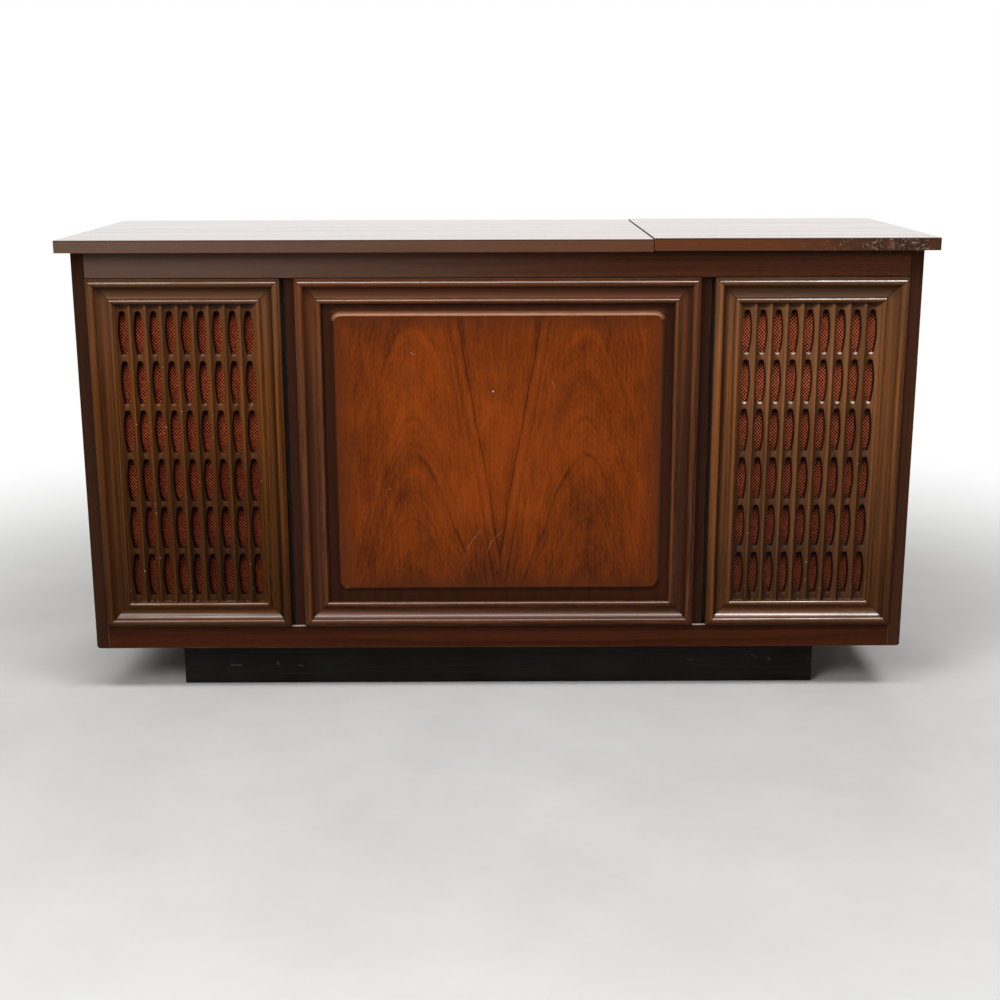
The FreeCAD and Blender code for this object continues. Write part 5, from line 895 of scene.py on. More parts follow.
# Moulded and painted pieces: finish, pale and dark colour, roughness, nodes
for finish_name, pale, dark, rough, names in (
    ("baffle_black", (0.020, 0.019, 0.018), (0.010, 0.010, 0.009), 0.75, ["left_baffle", "right_baffle"]),
    ("speaker_enamel", (0.055, 0.055, 0.058), (0.032, 0.032, 0.034), 0.45,
     ["left_woofer_basket", "right_woofer_basket", "tweeters", "changer_motor"]),
    ("matt_black", (0.026, 0.026, 0.027), (0.016, 0.016, 0.017), 0.5,
     ["terminal_plate", "cartridge_head", "arm_rest", "tonearm_pivot", "start_lever", "speed_lever"]),
    ("mat_rubber", (0.022, 0.022, 0.022), (0.012, 0.012, 0.012), 0.78, ["platter_mat", "idler_wheel"]),
    ("gloss_black", (0.020, 0.020, 0.021), (0.013, 0.013, 0.014), 0.2, ["overarm"]),
    ("panel_black", (0.024, 0.022, 0.020), (0.015, 0.014, 0.013), 0.42, ["control_panel"]),
    ("pointer_red", (0.62, 0.060, 0.025), (0.45, 0.040, 0.018), 0.3, ["dial_pointer"]),
    ("knob_black", (0.022, 0.020, 0.019), (0.013, 0.012, 0.011), 0.3,
     ["tuning_knob", "volume_knob", "balance_knob", "bass_knob", "treble_knob", "selector_knob", "power_button"]),
):
    dress(moulded(finish_name, pale, dark, rough), *names)
dress(moulded("changer_enamel", (0.115, 0.108, 0.098), (0.072, 0.068, 0.062), 0.38, 0.5, 260.0, 0.0003),
      "changer_plate")

# Metal pieces: finish, pale and dark colour, roughness, nodes
for finish_name, pale, dark, rough, names in (
    ("zinc_plate", (0.62, 0.60, 0.54), (0.40, 0.38, 0.33), 0.34,
     ["back_cover_screws", "hinge_fixed_leaves", "hinge_moving_leaves", "lid_stay", "amplifier_chassis"]),
    ("platter_silver", (0.60, 0.59, 0.57), (0.46, 0.45, 0.43), 0.32, ["platter"]),
    ("bright_plate", (0.80, 0.80, 0.80), (0.66, 0.66, 0.66), 0.14, ["spindle", "overarm_post"]),
    ("satin_arm", (0.74, 0.74, 0.75), (0.60, 0.60, 0.61), 0.28, ["tonearm"]),
    ("turned_brass", (0.72, 0.52, 0.20), (0.50, 0.34, 0.12), 0.28, ["motor_pulley"]),
):
    dress(metal(finish_name, pale, dark, rough), *names)


# ---------------------------------------------------------------- modelling by hand

TOUCHING = 0.000001
SMOOTH_UNDER = math.radians(35.0)
PRINT_THICK = 0.0001


def begun(add, **settings):
    """A new primitive, with nothing else selected."""
    bpy.ops.object.select_all(action="DESELECT")
    add(**settings)
    return bpy.context.object


def select(pieces):
    """Select these pieces alone; the first is the active one."""
    bpy.ops.object.select_all(action="DESELECT")
    for piece in pieces:
        piece.select_set(True)
    bpy.context.view_layer.objects.active = pieces[0]


def settled(piece):
    """The piece alone selected, its place, turn and size taken into its mesh."""
    select([piece])
    bpy.ops.object.transform_apply(location=True, rotation=True, scale=True)
    return piece


def edit():
    """Edit mode with every face selected."""
    bpy.ops.object.mode_set(mode="EDIT")
    bpy.ops.mesh.select_mode(type="FACE")
    bpy.ops.mesh.select_all(action="SELECT")


def pick(piece, kind, test):
    """In edit mode, select only the faces or edges that pass a test."""
    bpy.ops.mesh.select_mode(type=kind)
    bpy.ops.mesh.select_all(action="DESELECT")
    mesh = bmesh.from_edit_mesh(piece.data)
    for part in mesh.faces if kind == "FACE" else mesh.edges:
        if test(part):
            part.select_set(True)
    bmesh.update_edit_mesh(piece.data)


def middle_of(edge):
    return (edge.verts[0].co + edge.verts[1].co) / 2


def lift(height):
    """Extrude the selected faces along Z."""
    bpy.ops.mesh.extrude_region_move(TRANSFORM_OT_translate={"value": (0.0, 0.0, height)})


def closed_up():
    """Merge what touches, turn all faces outwards and leave edit mode."""
    bpy.ops.mesh.select_all(action="SELECT")
    bpy.ops.mesh.remove_doubles(threshold=TOUCHING)
    bpy.ops.mesh.normals_make_consistent(inside=False)
    bpy.ops.object.mode_set(mode="OBJECT")


def turned(outline, sides=32, bore=None):
    """A piece turned about Z: a disc drawn up through each radius and height, then bored if it is a ring."""
    (radius, height), *steps = outline
    piece = begun(bpy.ops.mesh.primitive_circle_add, vertices=sides, radius=radius, fill_type="NGON",
                  location=(0.0, 0.0, height))
    settled(piece)
    edit()
    for next_radius, next_height in steps:
        lift(next_height - height)
        grow = next_radius / radius
        bpy.ops.transform.resize(value=(grow, grow, 1.0), center_override=(0.0, 0.0, next_height))
        radius, height = next_radius, next_height
    if bore:
        for end_radius, end_height in (outline[0], outline[-1]):
            pick(piece, "FACE", lambda face: len(face.verts) == sides
                 and abs(face.calc_center_median().z - end_height) < 0.00001)
            bpy.ops.mesh.inset(thickness=(end_radius - bore) * math.cos(math.pi / sides))
            bpy.ops.mesh.delete(type="ONLY_FACE")
        pick(piece, "EDGE", lambda edge: edge.is_boundary)
        bpy.ops.mesh.bridge_edge_loops()
    closed_up()
    return piece


def block(x, y, z, ease):
    """A small bar between limits, its upper edges eased."""
    piece = begun(bpy.ops.mesh.primitive_cube_add, size=1.0,
                  location=((x[0] + x[1]) / 2, (y[0] + y[1]) / 2, (z[0] + z[1]) / 2))
    piece.scale = (x[1] - x[0], y[1] - y[0], z[1] - z[0])
    settled(piece)
    edit()
    pick(piece, "EDGE", lambda edge: middle_of(edge).z > z[1] - ease / 4)
    bpy.ops.mesh.bevel(offset=ease, segments=2, affect="EDGES")
    closed_up()
    return piece


def flat_sheet(low, high, z):
    """A flat rectangle between two corners, open in edit mode."""
    piece = begun(bpy.ops.mesh.primitive_plane_add, size=1.0,
                  location=((low[0] + high[0]) / 2, (low[1] + high[1]) / 2, z))
    piece.scale = (high[0] - low[0], high[1] - low[1], 1.0)
    settled(piece)
    edit()
    return piece


def flat_frame(low, high, z, corner, width, height, ease):
    """A thin round-cornered frame lying on a face, its upper edges eased."""
    piece = flat_sheet(low, high, z)
    bpy.ops.mesh.bevel(offset=corner, segments=5, affect="VERTICES")
    bpy.ops.mesh.select_mode(type="FACE")
    bpy.ops.mesh.select_all(action="SELECT")
    bpy.ops.mesh.inset(thickness=width)
    bpy.ops.mesh.delete(type="FACE")
    bpy.ops.mesh.select_all(action="SELECT")
    lift(height)
    bpy.ops.mesh.select_all(action="SELECT")
    bpy.ops.mesh.normals_make_consistent(inside=False)
    pick(piece, "EDGE", lambda edge: middle_of(edge).z > z + 0.9 * height and edge.calc_face_angle(0.0) > 1.0)
    bpy.ops.mesh.bevel(offset=ease, segments=2, affect="EDGES")
    closed_up()
    return piece


def slotted(piece, slot_half, deep):
    """Cut a driver slot across the flat top of a turned screw."""
    top = max(vertex.co.z for vertex in piece.data.vertices)
    edit()

    def on_top(face):
        return face.normal.z > 0.95 and face.calc_center_median().z > top - 0.00001

    for side in (-slot_half, slot_half):
        pick(piece, "FACE", on_top)
        bpy.ops.mesh.bisect(plane_co=(side, 0.0, 0.0), plane_no=(1.0, 0.0, 0.0))
    pick(piece, "FACE", lambda face: on_top(face) and abs(face.calc_center_median().x) < slot_half)
    lift(-deep)
    closed_up()
    return piece


def number(words, place, size):
    """A printed number lying flat on a face."""
    text = begun(bpy.ops.object.text_add, location=(place[0], place[1], place[2] + PRINT_THICK / 2)).data
    text.body = words
    text.size = size
    text.align_x = "CENTER"
    text.align_y = "CENTER"
    text.extrude = PRINT_THICK / 2
    text.resolution_u = 3
    bpy.ops.object.convert(target="MESH")
    made = settled(bpy.context.object)
    edit()
    bpy.ops.mesh.remove_doubles(threshold=PRINT_THICK / 8)
    closed_up()
    return made


def set_out(piece, places):
    """Copies of one piece, each with its own mesh, at several places and turns; the pattern is taken away."""
    made = []
    for place, turn in places:
        select([piece])
        bpy.ops.object.duplicate()
        twin = bpy.context.object
        twin.location = place
        twin.rotation_euler = turn
        made.append(settled(twin))
    bpy.data.objects.remove(piece)
    return made


def fitted(made, name, finish_made, body):
    """Several made pieces as one: named, finished and put on its body."""
    for piece in made:
        piece.data.materials.clear()
    select(made)
    if len(made) > 1:
        bpy.ops.object.join()
    piece = bpy.context.object
    piece.name = name
    piece.data.name = name
    piece.data.materials.append(finish_made)
    bpy.ops.object.shade_smooth_by_angle(angle=SMOOTH_UNDER)
    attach(piece, body)
    return piece


def finish_of(node):
    return nodes[node].data.materials[0]


# ---------------------------------------------------------------- loudspeaker cloth

CLOTH_CUTS = 90
CLOTH_SLACK = 0.0001


def speaker_cloth(side, name, finish_made):
    """A sheet stretched on the baffle behind one grille, with a trace of slack between its held edges."""
    low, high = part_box(side + "_grille_cloth")
    width = high.x - low.x
    tall = high.z - low.z
    cloth = begun(bpy.ops.mesh.primitive_plane_add, size=1.0, location=(low + high) / 2,
                  rotation=(math.pi / 2, 0.0, 0.0))
    cloth.name = name
    cloth.scale = (width, tall, 1.0)
    settled(cloth)
    edit()
    bpy.ops.mesh.subdivide(number_cuts=CLOTH_CUTS)
    bpy.ops.object.mode_set(mode="OBJECT")
    layer = cloth.data.uv_layers[0]
    layer.name = "weave"
    for loop in cloth.data.loops:
        place = cloth.data.vertices[loop.vertex_index].co
        layer.data[loop.index].uv = (place.x - low.x, place.z - low.z)
    for vertex in cloth.data.vertices:
        u = (vertex.co.x - low.x) / width
        v = (vertex.co.z - low.z) / tall
        held = min(1.0, 24.0 * min(u, 1.0 - u, v, 1.0 - v))
        slack = math.sin(23.0 * u + 5.0 * v) * math.sin(17.0 * v - 3.0 * u)
        vertex.co.y += CLOTH_SLACK * held * slack
    cloth.data.materials.append(finish_made)
    bpy.ops.object.shade_smooth()
    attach(cloth, "cabinet")
    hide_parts(side + "_grille_cloth")


LEFT_CLOTH = woven_cloth("left_cloth_weave", (0.40, 0.048, 0.0135), (0.84, 0.180, 0.058), 0.40,
                         [0.931, 0.931, 0.884, 0.696, 0.573, 0.479])
# the right cloth's threads are brighter than the left's: painted light for the stronger light on that side
RIGHT_CLOTH_PAINTED_BRIGHTER = woven_cloth("right_cloth_weave", (0.80, 0.125, 0.045), (1.0, 0.30, 0.12), 0.10,
                          [0.862, 0.88, 0.634, 0.515, 0.431, 0.392])
speaker_cloth("left", "left_speaker_cloth", LEFT_CLOTH)
speaker_cloth("right", "right_speaker_cloth", RIGHT_CLOTH_PAINTED_BRIGHTER)


# ---------------------------------------------------------------- grille panels with rounded hole rims

RIM_ROUND = 0.0011
RIM_FRONT = -0.2030
RIM_ANGLE = math.radians(45.0)
RIM_SMOOTH_UNDER = math.radians(38.0)
FLAT_UNDER = math.radians(0.3)
PANEL_MERGE = 0.000002
HOLES_HALF = 0.1140


def rimmed_grille(side, middle_x):
    """The fluted panel with the rim of each hole rounded over, as a moulded panel's is."""
    node = side + "_grille"
    low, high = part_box(node)
    piece = bpy.data.objects.new(side + "_fluted_panel", nodes[node].data.copy())
    bpy.context.scene.collection.objects.link(piece)
    settled(piece)
    edit()
    bpy.ops.mesh.customdata_custom_splitnormals_clear()
    bpy.ops.mesh.remove_doubles(threshold=PANEL_MERGE)
    bpy.ops.mesh.dissolve_limited(angle_limit=FLAT_UNDER)

    def on_rim(edge):
        place = middle_of(edge)
        inside = abs(place.x - middle_x) < HOLES_HALF and low.z + 0.004 < place.z < high.z - 0.002
        return inside and place.y < RIM_FRONT and edge.calc_face_angle(0.0) > RIM_ANGLE

    pick(piece, "EDGE", on_rim)
    bpy.ops.mesh.bevel(offset=RIM_ROUND, segments=3, profile=0.5, affect="EDGES", clamp_overlap=False)
    bpy.ops.object.mode_set(mode="OBJECT")
    bpy.ops.object.shade_smooth_by_angle(angle=RIM_SMOOTH_UNDER)
    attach(piece, "cabinet")
    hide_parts(node)


rimmed_grille("left", -GRILLE_MID)
rimmed_grille("right", GRILLE_MID)


# ---------------------------------------------------------------- tuner panel, dial and knobs

ALUMINIUM = metal("spun_aluminium", (0.80, 0.79, 0.77), (0.62, 0.61, 0.59), 0.22)
CHAMPAGNE = metal("brushed_overlay", (0.70, 0.62, 0.49), (0.62, 0.545, 0.425), 0.32, (8.0, 900.0, 900.0))
IVORY_PRINT = moulded("ivory_print", (0.78, 0.72, 0.58), (0.66, 0.60, 0.47), 0.5)
BLACK_PRINT = moulded("black_print", (0.022, 0.020, 0.018), (0.014, 0.013, 0.012), 0.5)
DIAL_BLACK = moulded("dial_back", (0.016, 0.022, 0.020), (0.010, 0.014, 0.013), 0.25)
INDEX_WHITE = moulded("index_white", (0.82, 0.80, 0.74), (0.70, 0.68, 0.62), 0.4)
KNOBS = ["volume", "balance", "bass", "treble", "selector", "tuning"]
KNOB_GAP = 0.0003
SKIRT_OUT = 0.003
SKIRT_HIGH = 0.003
RIBS_TO_METRE = 2600
RIB_DEEP = 0.0007
RIB_FOOT = 0.0046
RIB_SHORT = 0.0016
KNOB_NUMBER = 0.0075
FM_NUMBER = 0.0105
AM_NUMBER = 0.0095
OVERLAY_THICK = 0.0002
PANEL_FACE = 0.6085
FLAT = (0.0, 0.0, 0.0)


def knob_place(name):
    """A knob's axis, the height of its foot and top, and the radius of its grip."""
    low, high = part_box(name + "_knob")
    radius = (high.x - low.x) / 2 - SKIRT_OUT
    return (low.x + high.x) / 2, (low.y + high.y) / 2, PANEL_FACE + KNOB_GAP, high.z, radius


def knob_trim(name):
    """Ribs round a knob, a bright ring on its skirt, a bright centre and a white index laid in its groove."""
    x, y, foot, top, radius = knob_place(name)
    ribs = round(radius * RIBS_TO_METRE)
    step = math.pi / ribs
    rib_low, rib_high = foot + RIB_FOOT, top - RIB_SHORT
    grip = begun(bpy.ops.mesh.primitive_cylinder_add, vertices=2 * ribs, radius=radius - 0.0001,
                 depth=rib_high - rib_low, location=(0.0, 0.0, (rib_low + rib_high) / 2))
    settled(grip)
    edit()
    pick(grip, "FACE", lambda face: abs(face.normal.z) < 0.1
         and int(math.atan2(face.normal.y, face.normal.x) / step + 4 * ribs) % 2 == 0)
    bpy.ops.mesh.inset(thickness=0.00012, depth=RIB_DEEP, use_individual=True)
    closed_up()
    skirt = foot + SKIRT_HIGH
    ring = turned([(radius + 0.0025, skirt - 0.0002), (radius + 0.0025, skirt + 0.0004),
                   (radius + 0.0019, skirt + 0.0010), (radius + 0.0012, skirt + 0.0012)], 72, radius - 0.0002)
    cap = turned([(0.21 * radius, top - 0.0002), (0.21 * radius, top + 0.0003), (0.18 * radius, top + 0.0006),
                  (0.07 * radius, top + 0.0008)])
    index = block((-0.00085, 0.00085), (0.25 * radius + 0.0002, radius - 0.0012), (top - 0.00095, top - 0.0001), 0.0002)
    for piece in (grip, ring, cap, index):
        piece.location = (x, y, 0.0)
        settled(piece)
    body = name + "_control"
    fitted([grip], name + "_knob_ribs", finish_of(name + "_knob"), body)
    fitted([ring, cap], name + "_knob_bright", ALUMINIUM, body)
    fitted([index], name + "_knob_index", INDEX_WHITE, body)


def panel_overlay():
    """A brushed overlay in front of the dial, cut out for the shafts and the power button."""
    low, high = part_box("control_panel")
    dial_low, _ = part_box("dial_glass")
    button_low, button_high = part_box("power_button")
    button_x, button_y = (low.x + high.x) / 2, (button_low.y + button_high.y) / 2
    edge, shaft = 0.007, 0.0045
    holes = [(x - shaft, x + shaft, y - shaft, y + shaft) for x, y, *_ in map(knob_place, KNOBS)]
    holes.append((button_x - 0.0116, button_x + 0.0116, button_y - 0.0066, button_y + 0.0066))
    piece = flat_sheet((low.x + edge, low.y + edge), (high.x - edge, dial_low.y - 0.008), PANEL_FACE)
    for x_low, x_high, y_low, y_high in holes:
        for place, way in ((x_low, (1, 0, 0)), (x_high, (1, 0, 0)), (y_low, (0, 1, 0)), (y_high, (0, 1, 0))):
            bpy.ops.mesh.select_all(action="SELECT")
            bpy.ops.mesh.bisect(plane_co=(place, place, PANEL_FACE), plane_no=way)

    def in_hole(face):
        place = face.calc_center_median()
        return any(a < place.x < b and c < place.y < d for a, b, c, d in holes)

    pick(piece, "FACE", in_hole)
    bpy.ops.mesh.delete(type="FACE")
    bpy.ops.mesh.select_all(action="SELECT")
    lift(OVERLAY_THICK)
    closed_up()
    fitted([piece], "control_overlay", CHAMPAGNE, "cabinet")
    face = PANEL_FACE + OVERLAY_THICK
    frame_x, frame_y = 0.0134, 0.0084
    surround = flat_frame((button_x - frame_x, button_y - frame_y), (button_x + frame_x, button_y + frame_y), face,
                          0.0022, 0.0016, 0.0005, 0.0002)
    line = 0.0018
    border = flat_frame((low.x + line, low.y + line), (high.x - line, high.y - line), PANEL_FACE,
                        0.0065, 0.0012, 0.0004, 0.00012)
    fitted([surround, border], "panel_bright_lines", ALUMINIUM, "cabinet")


def tick_ring(place, radius, angles):
    """Short marks round a knob at angles clockwise from its rest mark."""
    tick = block((-0.0005, 0.0005), (radius, radius + 0.0040), (0.0, PRINT_THICK), PRINT_THICK / 4)
    return set_out(tick, [(place, (0.0, 0.0, -math.radians(angle))) for angle in angles])


def number_ring(place, radius, step, words):
    """Numbers round a knob, clockwise from its rest mark."""
    made = []
    for count, word in enumerate(words):
        angle = math.radians(step * count)
        spot = (place[0] + radius * math.sin(angle), place[1] + radius * math.cos(angle), place[2])
        made.append(number(word, spot, KNOB_NUMBER))
    return made


def panel_print():
    """Marks and numbers printed on the overlay round the knobs."""
    made = []
    for name in KNOBS:
        x, y, _, _, radius = knob_place(name)
        place = (x, y, PANEL_FACE + OVERLAY_THICK)
        out = radius + SKIRT_OUT + 0.0020
        if name == "volume":
            made += tick_ring(place, out, range(0, 291, 29))
            made += number_ring(place, out + 0.0085, 58.0, ["0", "2", "4", "6", "8", "10"])
        elif name == "selector":
            made += tick_ring(place, out, range(0, 121, 40))
            made += number_ring(place, out + 0.0085, 40.0, ["1", "2", "3", "4"])
        elif name != "tuning":
            made += tick_ring(place, out, range(-140, 141, 28))
            made += tick_ring(place, out + 0.0022, [0])
    fitted(made, "overlay_print", BLACK_PRINT, "cabinet")


FM_MARKS = range(88, 109)
AM_MARKS = [55, 60, 65, 70, 75, 80, 90, 100, 110, 120, 130, 140, 150, 160]
AM_NUMBERS = [55, 60, 70, 80, 100, 120, 140, 160]
AM_ENDS = (53.5, 165.0)
DIAL_REACH = 0.140


def tuning_dial():
    """A dark scale under the glass with two bands of marks and numbers, and a bright bezel round the glass."""
    low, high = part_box("dial_glass")
    pointer_low, pointer_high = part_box("dial_pointer")
    floor = pointer_low.z - 0.0003
    face = floor + 0.00008
    middle_x, middle_y = (pointer_low.x + pointer_high.x) / 2, (low.y + high.y) / 2
    edge = 0.0035
    scale = block((low.x + edge, high.x - edge), (low.y + edge, high.y - edge), (floor, face), 0.00003)
    fitted([scale], "dial_scale", DIAL_BLACK, "cabinet")
    long_places, short_places, made = [], [], []
    for mark in FM_MARKS:
        share = (mark - FM_MARKS[0]) / (FM_MARKS[-1] - FM_MARKS[0])
        along = middle_x + DIAL_REACH * (2 * share - 1)
        shown = mark % 4 == 0
        (long_places if shown else short_places).append(((along, middle_y + 0.0030, face), FLAT))
        if shown:
            made.append(number(str(mark), (along, middle_y + 0.0150, face), FM_NUMBER))
    for mark in AM_MARKS:
        share = math.log(mark / AM_ENDS[0]) / math.log(AM_ENDS[1] / AM_ENDS[0])
        along = middle_x + DIAL_REACH * (2 * share - 1)
        shown = mark in AM_NUMBERS
        (long_places if shown else short_places).append(((along, middle_y - 0.0030, face), (0.0, 0.0, math.pi)))
        if shown:
            made.append(number(str(mark), (along, middle_y - 0.0150, face), AM_NUMBER))
    thick = (0.0, PRINT_THICK)
    made += set_out(block((-0.0005, 0.0005), (0.0, 0.0060), thick, PRINT_THICK / 4), long_places)
    made += set_out(block((-0.0003, 0.0003), (0.0, 0.0035), thick, PRINT_THICK / 4), short_places)
    reach = DIAL_REACH + 0.012
    for y in (middle_y - 0.0024, middle_y + 0.0018):
        made.append(block((middle_x - reach, middle_x + reach), (y, y + 0.0006), (face, face + PRINT_THICK),
                          PRINT_THICK / 4))
    fitted(made, "dial_print", IVORY_PRINT, "cabinet")
    bezel = flat_frame((low.x - edge, low.y - edge), (high.x + edge, high.y + edge), high.z,
                       0.0072, 0.0060, 0.0010, 0.0003)
    fitted([bezel], "dial_bezel", ALUMINIUM, "cabinet")


for knob in KNOBS:
    knob_trim(knob)
panel_overlay()
panel_print()
tuning_dial()


# ---------------------------------------------------------------- changer trim and small fasteners

CHANGER_FACE = 0.6015
COVER_FACE = 0.231
LEAF_FACE = 0.2346
COVER_SCREW_HALF = 0.671
SPEED_NUMBER = 0.0072
SPEED_NUMBER_OUT = 0.046
LEVER_PIVOT_IN = 0.009
JACK_RED = moulded("jack_red", (0.45, 0.030, 0.022), (0.33, 0.020, 0.016), 0.35)
JACK_WHITE = moulded("jack_white", (0.74, 0.71, 0.64), (0.62, 0.59, 0.52), 0.35)
BACKWARD = (-math.pi / 2, 0.0, 0.0)


def changer_trim():
    """A bright line round the changer plate, slotted transit screws and the speed numbers."""
    low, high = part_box("changer_plate")
    line = 0.0015
    border = flat_frame((low.x + line, low.y + line), (high.x - line, high.y - line), CHANGER_FACE,
                        0.0145, 0.0012, 0.0003, 0.0001)
    inset = 0.016
    spots = [(low.x + inset, low.y + inset), (low.x + inset, high.y - inset), (high.x - inset, high.y - inset)]
    screw = slotted(turned([(0.0055, 0.0), (0.0055, 0.0007), (0.0050, 0.0013), (0.0042, 0.0016)], 24), 0.0008, 0.0008)
    heads = set_out(screw, [((x, y, CHANGER_FACE), (0.0, 0.0, 0.7 * count)) for count, (x, y) in enumerate(spots)])
    fitted([border] + heads, "changer_bright_trim", ALUMINIUM, "cabinet")
    lever_low, lever_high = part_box("speed_lever")
    pivot_x, pivot_y = (lever_low.x + lever_high.x) / 2, lever_low.y + LEVER_PIVOT_IN
    made = []
    for words, angle in (("16", 24.0), ("33", 8.0), ("45", -8.0), ("78", -24.0)):
        turn = math.radians(angle)
        spot = (pivot_x - SPEED_NUMBER_OUT * math.sin(turn), pivot_y + SPEED_NUMBER_OUT * math.cos(turn), CHANGER_FACE)
        made.append(number(words, spot, SPEED_NUMBER))
    fitted(made, "speed_numbers", IVORY_PRINT, "cabinet")


def cover_screws():
    """Slotted round-head screws through the back cover's edges."""
    cover_low, cover_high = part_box("back_cover")
    low, high = cover_low.z + 0.0055, cover_high.z - 0.0055
    side = COVER_SCREW_HALF - 0.0045
    places = [(share * COVER_SCREW_HALF, z) for share in (-0.75, -0.25, 0.25, 0.75) for z in (low, high)]
    places += [(x, low + (high - low) * share) for x in (-side, side) for share in (0.1, 0.5, 0.9)]
    screw = turned([(0.0006, -0.0140), (0.0018, -0.0115), (0.0018, 0.0), (0.0042, 0.0), (0.0042, 0.0008),
                    (0.0038, 0.0016), (0.0030, 0.0020)], 24)
    heads = set_out(slotted(screw, 0.0006, 0.0010), [((x, COVER_FACE, z), (-math.pi / 2, 0.9 * count, 0.0))
                                                     for count, (x, z) in enumerate(places)])
    piece = fitted(heads, "slotted_cover_screws", finish_of("back_cover_screws"), "cabinet")
    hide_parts("back_cover_screws")


HINGE_PLACES = [-0.557, -0.227, 0.103]
LEAF_LOW = 0.7183


def hinge_screws():
    """Three slotted heads in each fixed hinge leaf."""
    screw = slotted(turned([(0.0032, 0.0), (0.0032, 0.0003), (0.0028, 0.0007), (0.0021, 0.0009)], 20), 0.0004, 0.0005)
    places = []
    for middle in HINGE_PLACES:
        for x, rise in ((-0.022, 0.0075), (0.0, 0.0165), (0.022, 0.0075)):
            places.append(((middle + x, LEAF_FACE, LEAF_LOW + rise), (-math.pi / 2, 1.1 * len(places), 0.0)))
    fitted(set_out(screw, places), "hinge_leaf_screws", finish_of("hinge_fixed_leaves"), "cabinet")


JACK_COLUMNS = [0.04575, 0.02775, 0.00975]
JACK_ROWS = [(0.5275, "red", JACK_RED), (0.5455, "white", JACK_WHITE)]
AERIAL_PLACES = [-0.07225, -0.05825, -0.04425, -0.03025]
AERIAL_HIGH = 0.5365


def rear_sockets():
    """Plated sleeves and coloured collars on the jacks, and brass heads on the aerial screws."""
    spots = [((x, 0.0, z), BACKWARD) for x in JACK_COLUMNS for z, _, _ in JACK_ROWS]
    sleeve = turned([(0.0046, 0.2305), (0.0046, 0.2361), (0.0043, 0.2366)], 28, 0.0024)
    fitted(set_out(sleeve, spots), "jack_sleeves", finish_of("hinge_fixed_leaves"), "cabinet")
    for z, colour, finish_made in JACK_ROWS:
        collar = turned([(0.0062, 0.2290), (0.0062, 0.2300), (0.0056, 0.2307)], 28, 0.0042)
        places = [((x, 0.0, z), BACKWARD) for x in JACK_COLUMNS]
        fitted(set_out(collar, places), "jack_collars_" + colour, finish_made, "cabinet")
    screw = turned([(0.0044, 0.2290), (0.0044, 0.2322), (0.0040, 0.2329), (0.0031, 0.2332)], 24)
    screw = slotted(screw, 0.0006, 0.0011)
    heads = set_out(screw, [((x, 0.0, AERIAL_HIGH), (-math.pi / 2, 0.6 * count, 0.0))
                            for count, x in enumerate(AERIAL_PLACES)])
    fitted(heads, "aerial_screw_heads", finish_of("motor_pulley"), "cabinet")


changer_trim()
cover_screws()
hinge_screws()
rear_sockets()


# ---------------------------------------------------------------- stage

FLOOR_LEVEL = -0.0004
FLOOR_SIZE = 40.0
FADE_FROM, FADE_TO = 0.75, 2.1


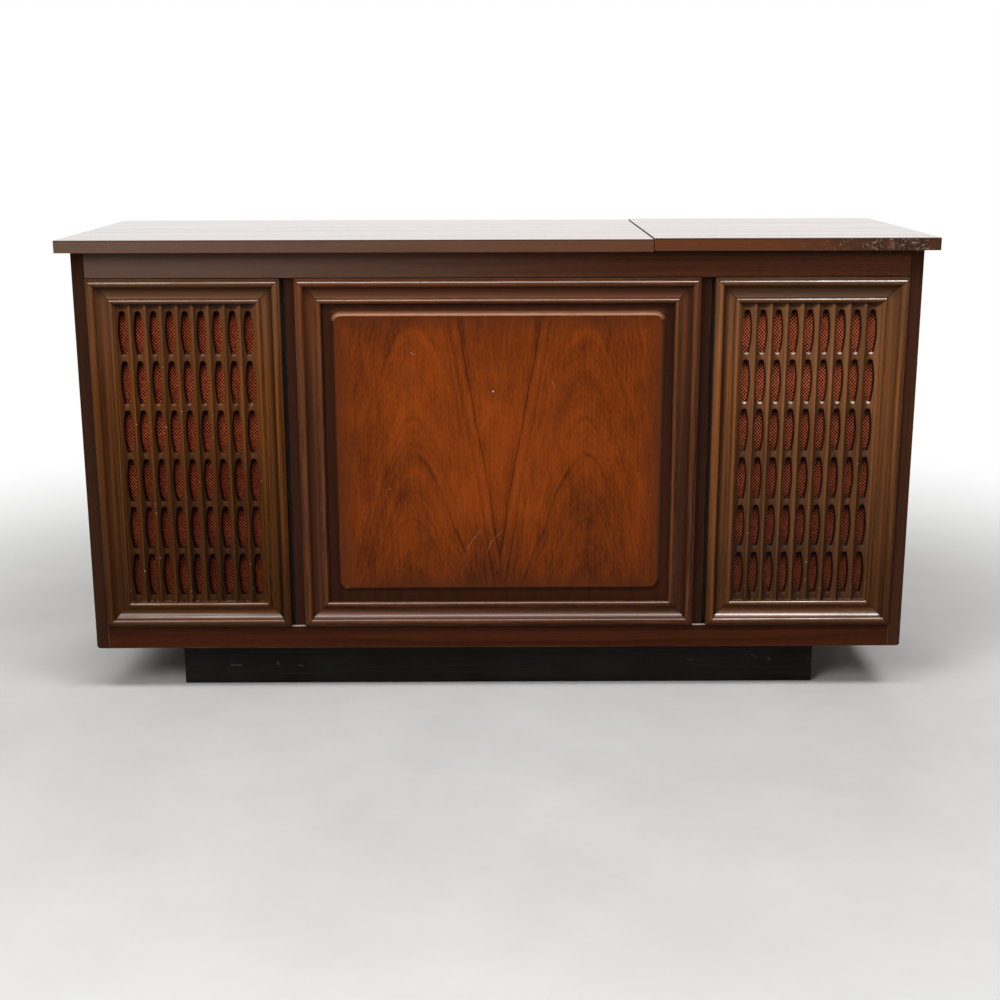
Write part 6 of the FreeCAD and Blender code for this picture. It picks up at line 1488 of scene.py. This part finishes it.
def pale_floor():
    """A plain pale floor round the part that fades to the white background further out."""
    floor = begun(bpy.ops.mesh.primitive_plane_add, size=FLOOR_SIZE, location=(0.0, 0.0, FLOOR_LEVEL))
    floor.name = "floor"
    made, tree, shader = new_finish("floor_pale")
    here = tree.here()
    cloud = tree.noise(here, 3.0, 6.0, 0.65)
    tree.put(shader["Base Color"], tree.mixed(tree.ranged(cloud, 0.3, 0.7), (0.60, 0.595, 0.585), (0.68, 0.675, 0.67)))
    shader["Roughness"].default_value = 0.7
    shader["Specular IOR Level"].default_value = 0.2
    away = tree.vectors("LENGTH", here, (0.0, 0.0, 0.0), "Value")
    path = tree.rays()
    seen = tree.maths("MAXIMUM", path["Is Camera Ray"],
                      tree.maths("MAXIMUM", path["Is Glossy Ray"], path["Is Transmission Ray"]))
    fade = tree.ranged(away, FADE_FROM, FADE_TO, smooth=True) * seen
    white = tree.level("Emission", {"Color": (1.0, 1.0, 1.0), "Strength": 1.0})
    body = Level(tree, made.node_tree.nodes["Principled BSDF"].outputs[0])
    both = tree.level("MixShader", {0: fade, 1: body, 2: white})
    tree.put(made.node_tree.nodes["Material Output"].inputs["Surface"], both)
    floor.data.materials.append(made)


def studio_light():
    """White all round for the camera, bright overhead and behind in reflections, and soft lamps above and in front."""
    world = bpy.data.worlds.new("studio")
    bpy.context.scene.world = world
    world.use_nodes = True
    tree = Tree(world.node_tree)
    path = tree.rays()
    _, back_way, up_way = tree.split(tree.level("TexCoord", result="Generated"))
    bright = tree.maths("MAXIMUM", tree.ranged(up_way, 0.25, 0.75, 0.10, 1.0, smooth=True),
                        tree.ranged(back_way, -0.2, 0.35, 0.10, 1.0, smooth=True))
    mirrored = tree.maths("MAXIMUM", path["Is Glossy Ray"], path["Is Transmission Ray"])
    strength = tree.between(mirrored, WORLD_LEVEL, bright)
    ground = world.node_tree.nodes["Background"].inputs
    ground["Color"].default_value = (1.0, 1.0, 1.0, 1.0)
    tree.put(ground["Strength"], tree.between(path["Is Camera Ray"], strength, 1.0))
    for name, place, aim, size, power in LAMPS:
        light = bpy.data.lights.new(name, "AREA")
        light.shape = "RECTANGLE"
        light.size, light.size_y = size
        light.energy = power
        lamp = bpy.data.objects.new(name, light)
        lamp.location = place
        lamp.rotation_euler = (Vector(aim) - Vector(place)).to_track_quat("-Z", "Y").to_euler()
        lamp.visible_glossy = name != "rear"
        bpy.context.scene.collection.objects.link(lamp)


def photo_camera():
    """The camera that the photograph was taken from."""
    camera = bpy.data.cameras.new("photo_view")
    camera.lens = CAMERA_LENS
    camera.sensor_width = SENSOR
    camera.clip_end = 60.0
    holder = bpy.data.objects.new("photo_view", camera)
    holder.location = CAMERA_PLACE
    holder.rotation_euler = [math.radians(angle) for angle in CAMERA_TURN]
    bpy.context.scene.collection.objects.link(holder)
    bpy.context.scene.camera = holder


pale_floor()
studio_light()
photo_camera()
bpy.context.scene.view_settings.view_transform = "Standard"
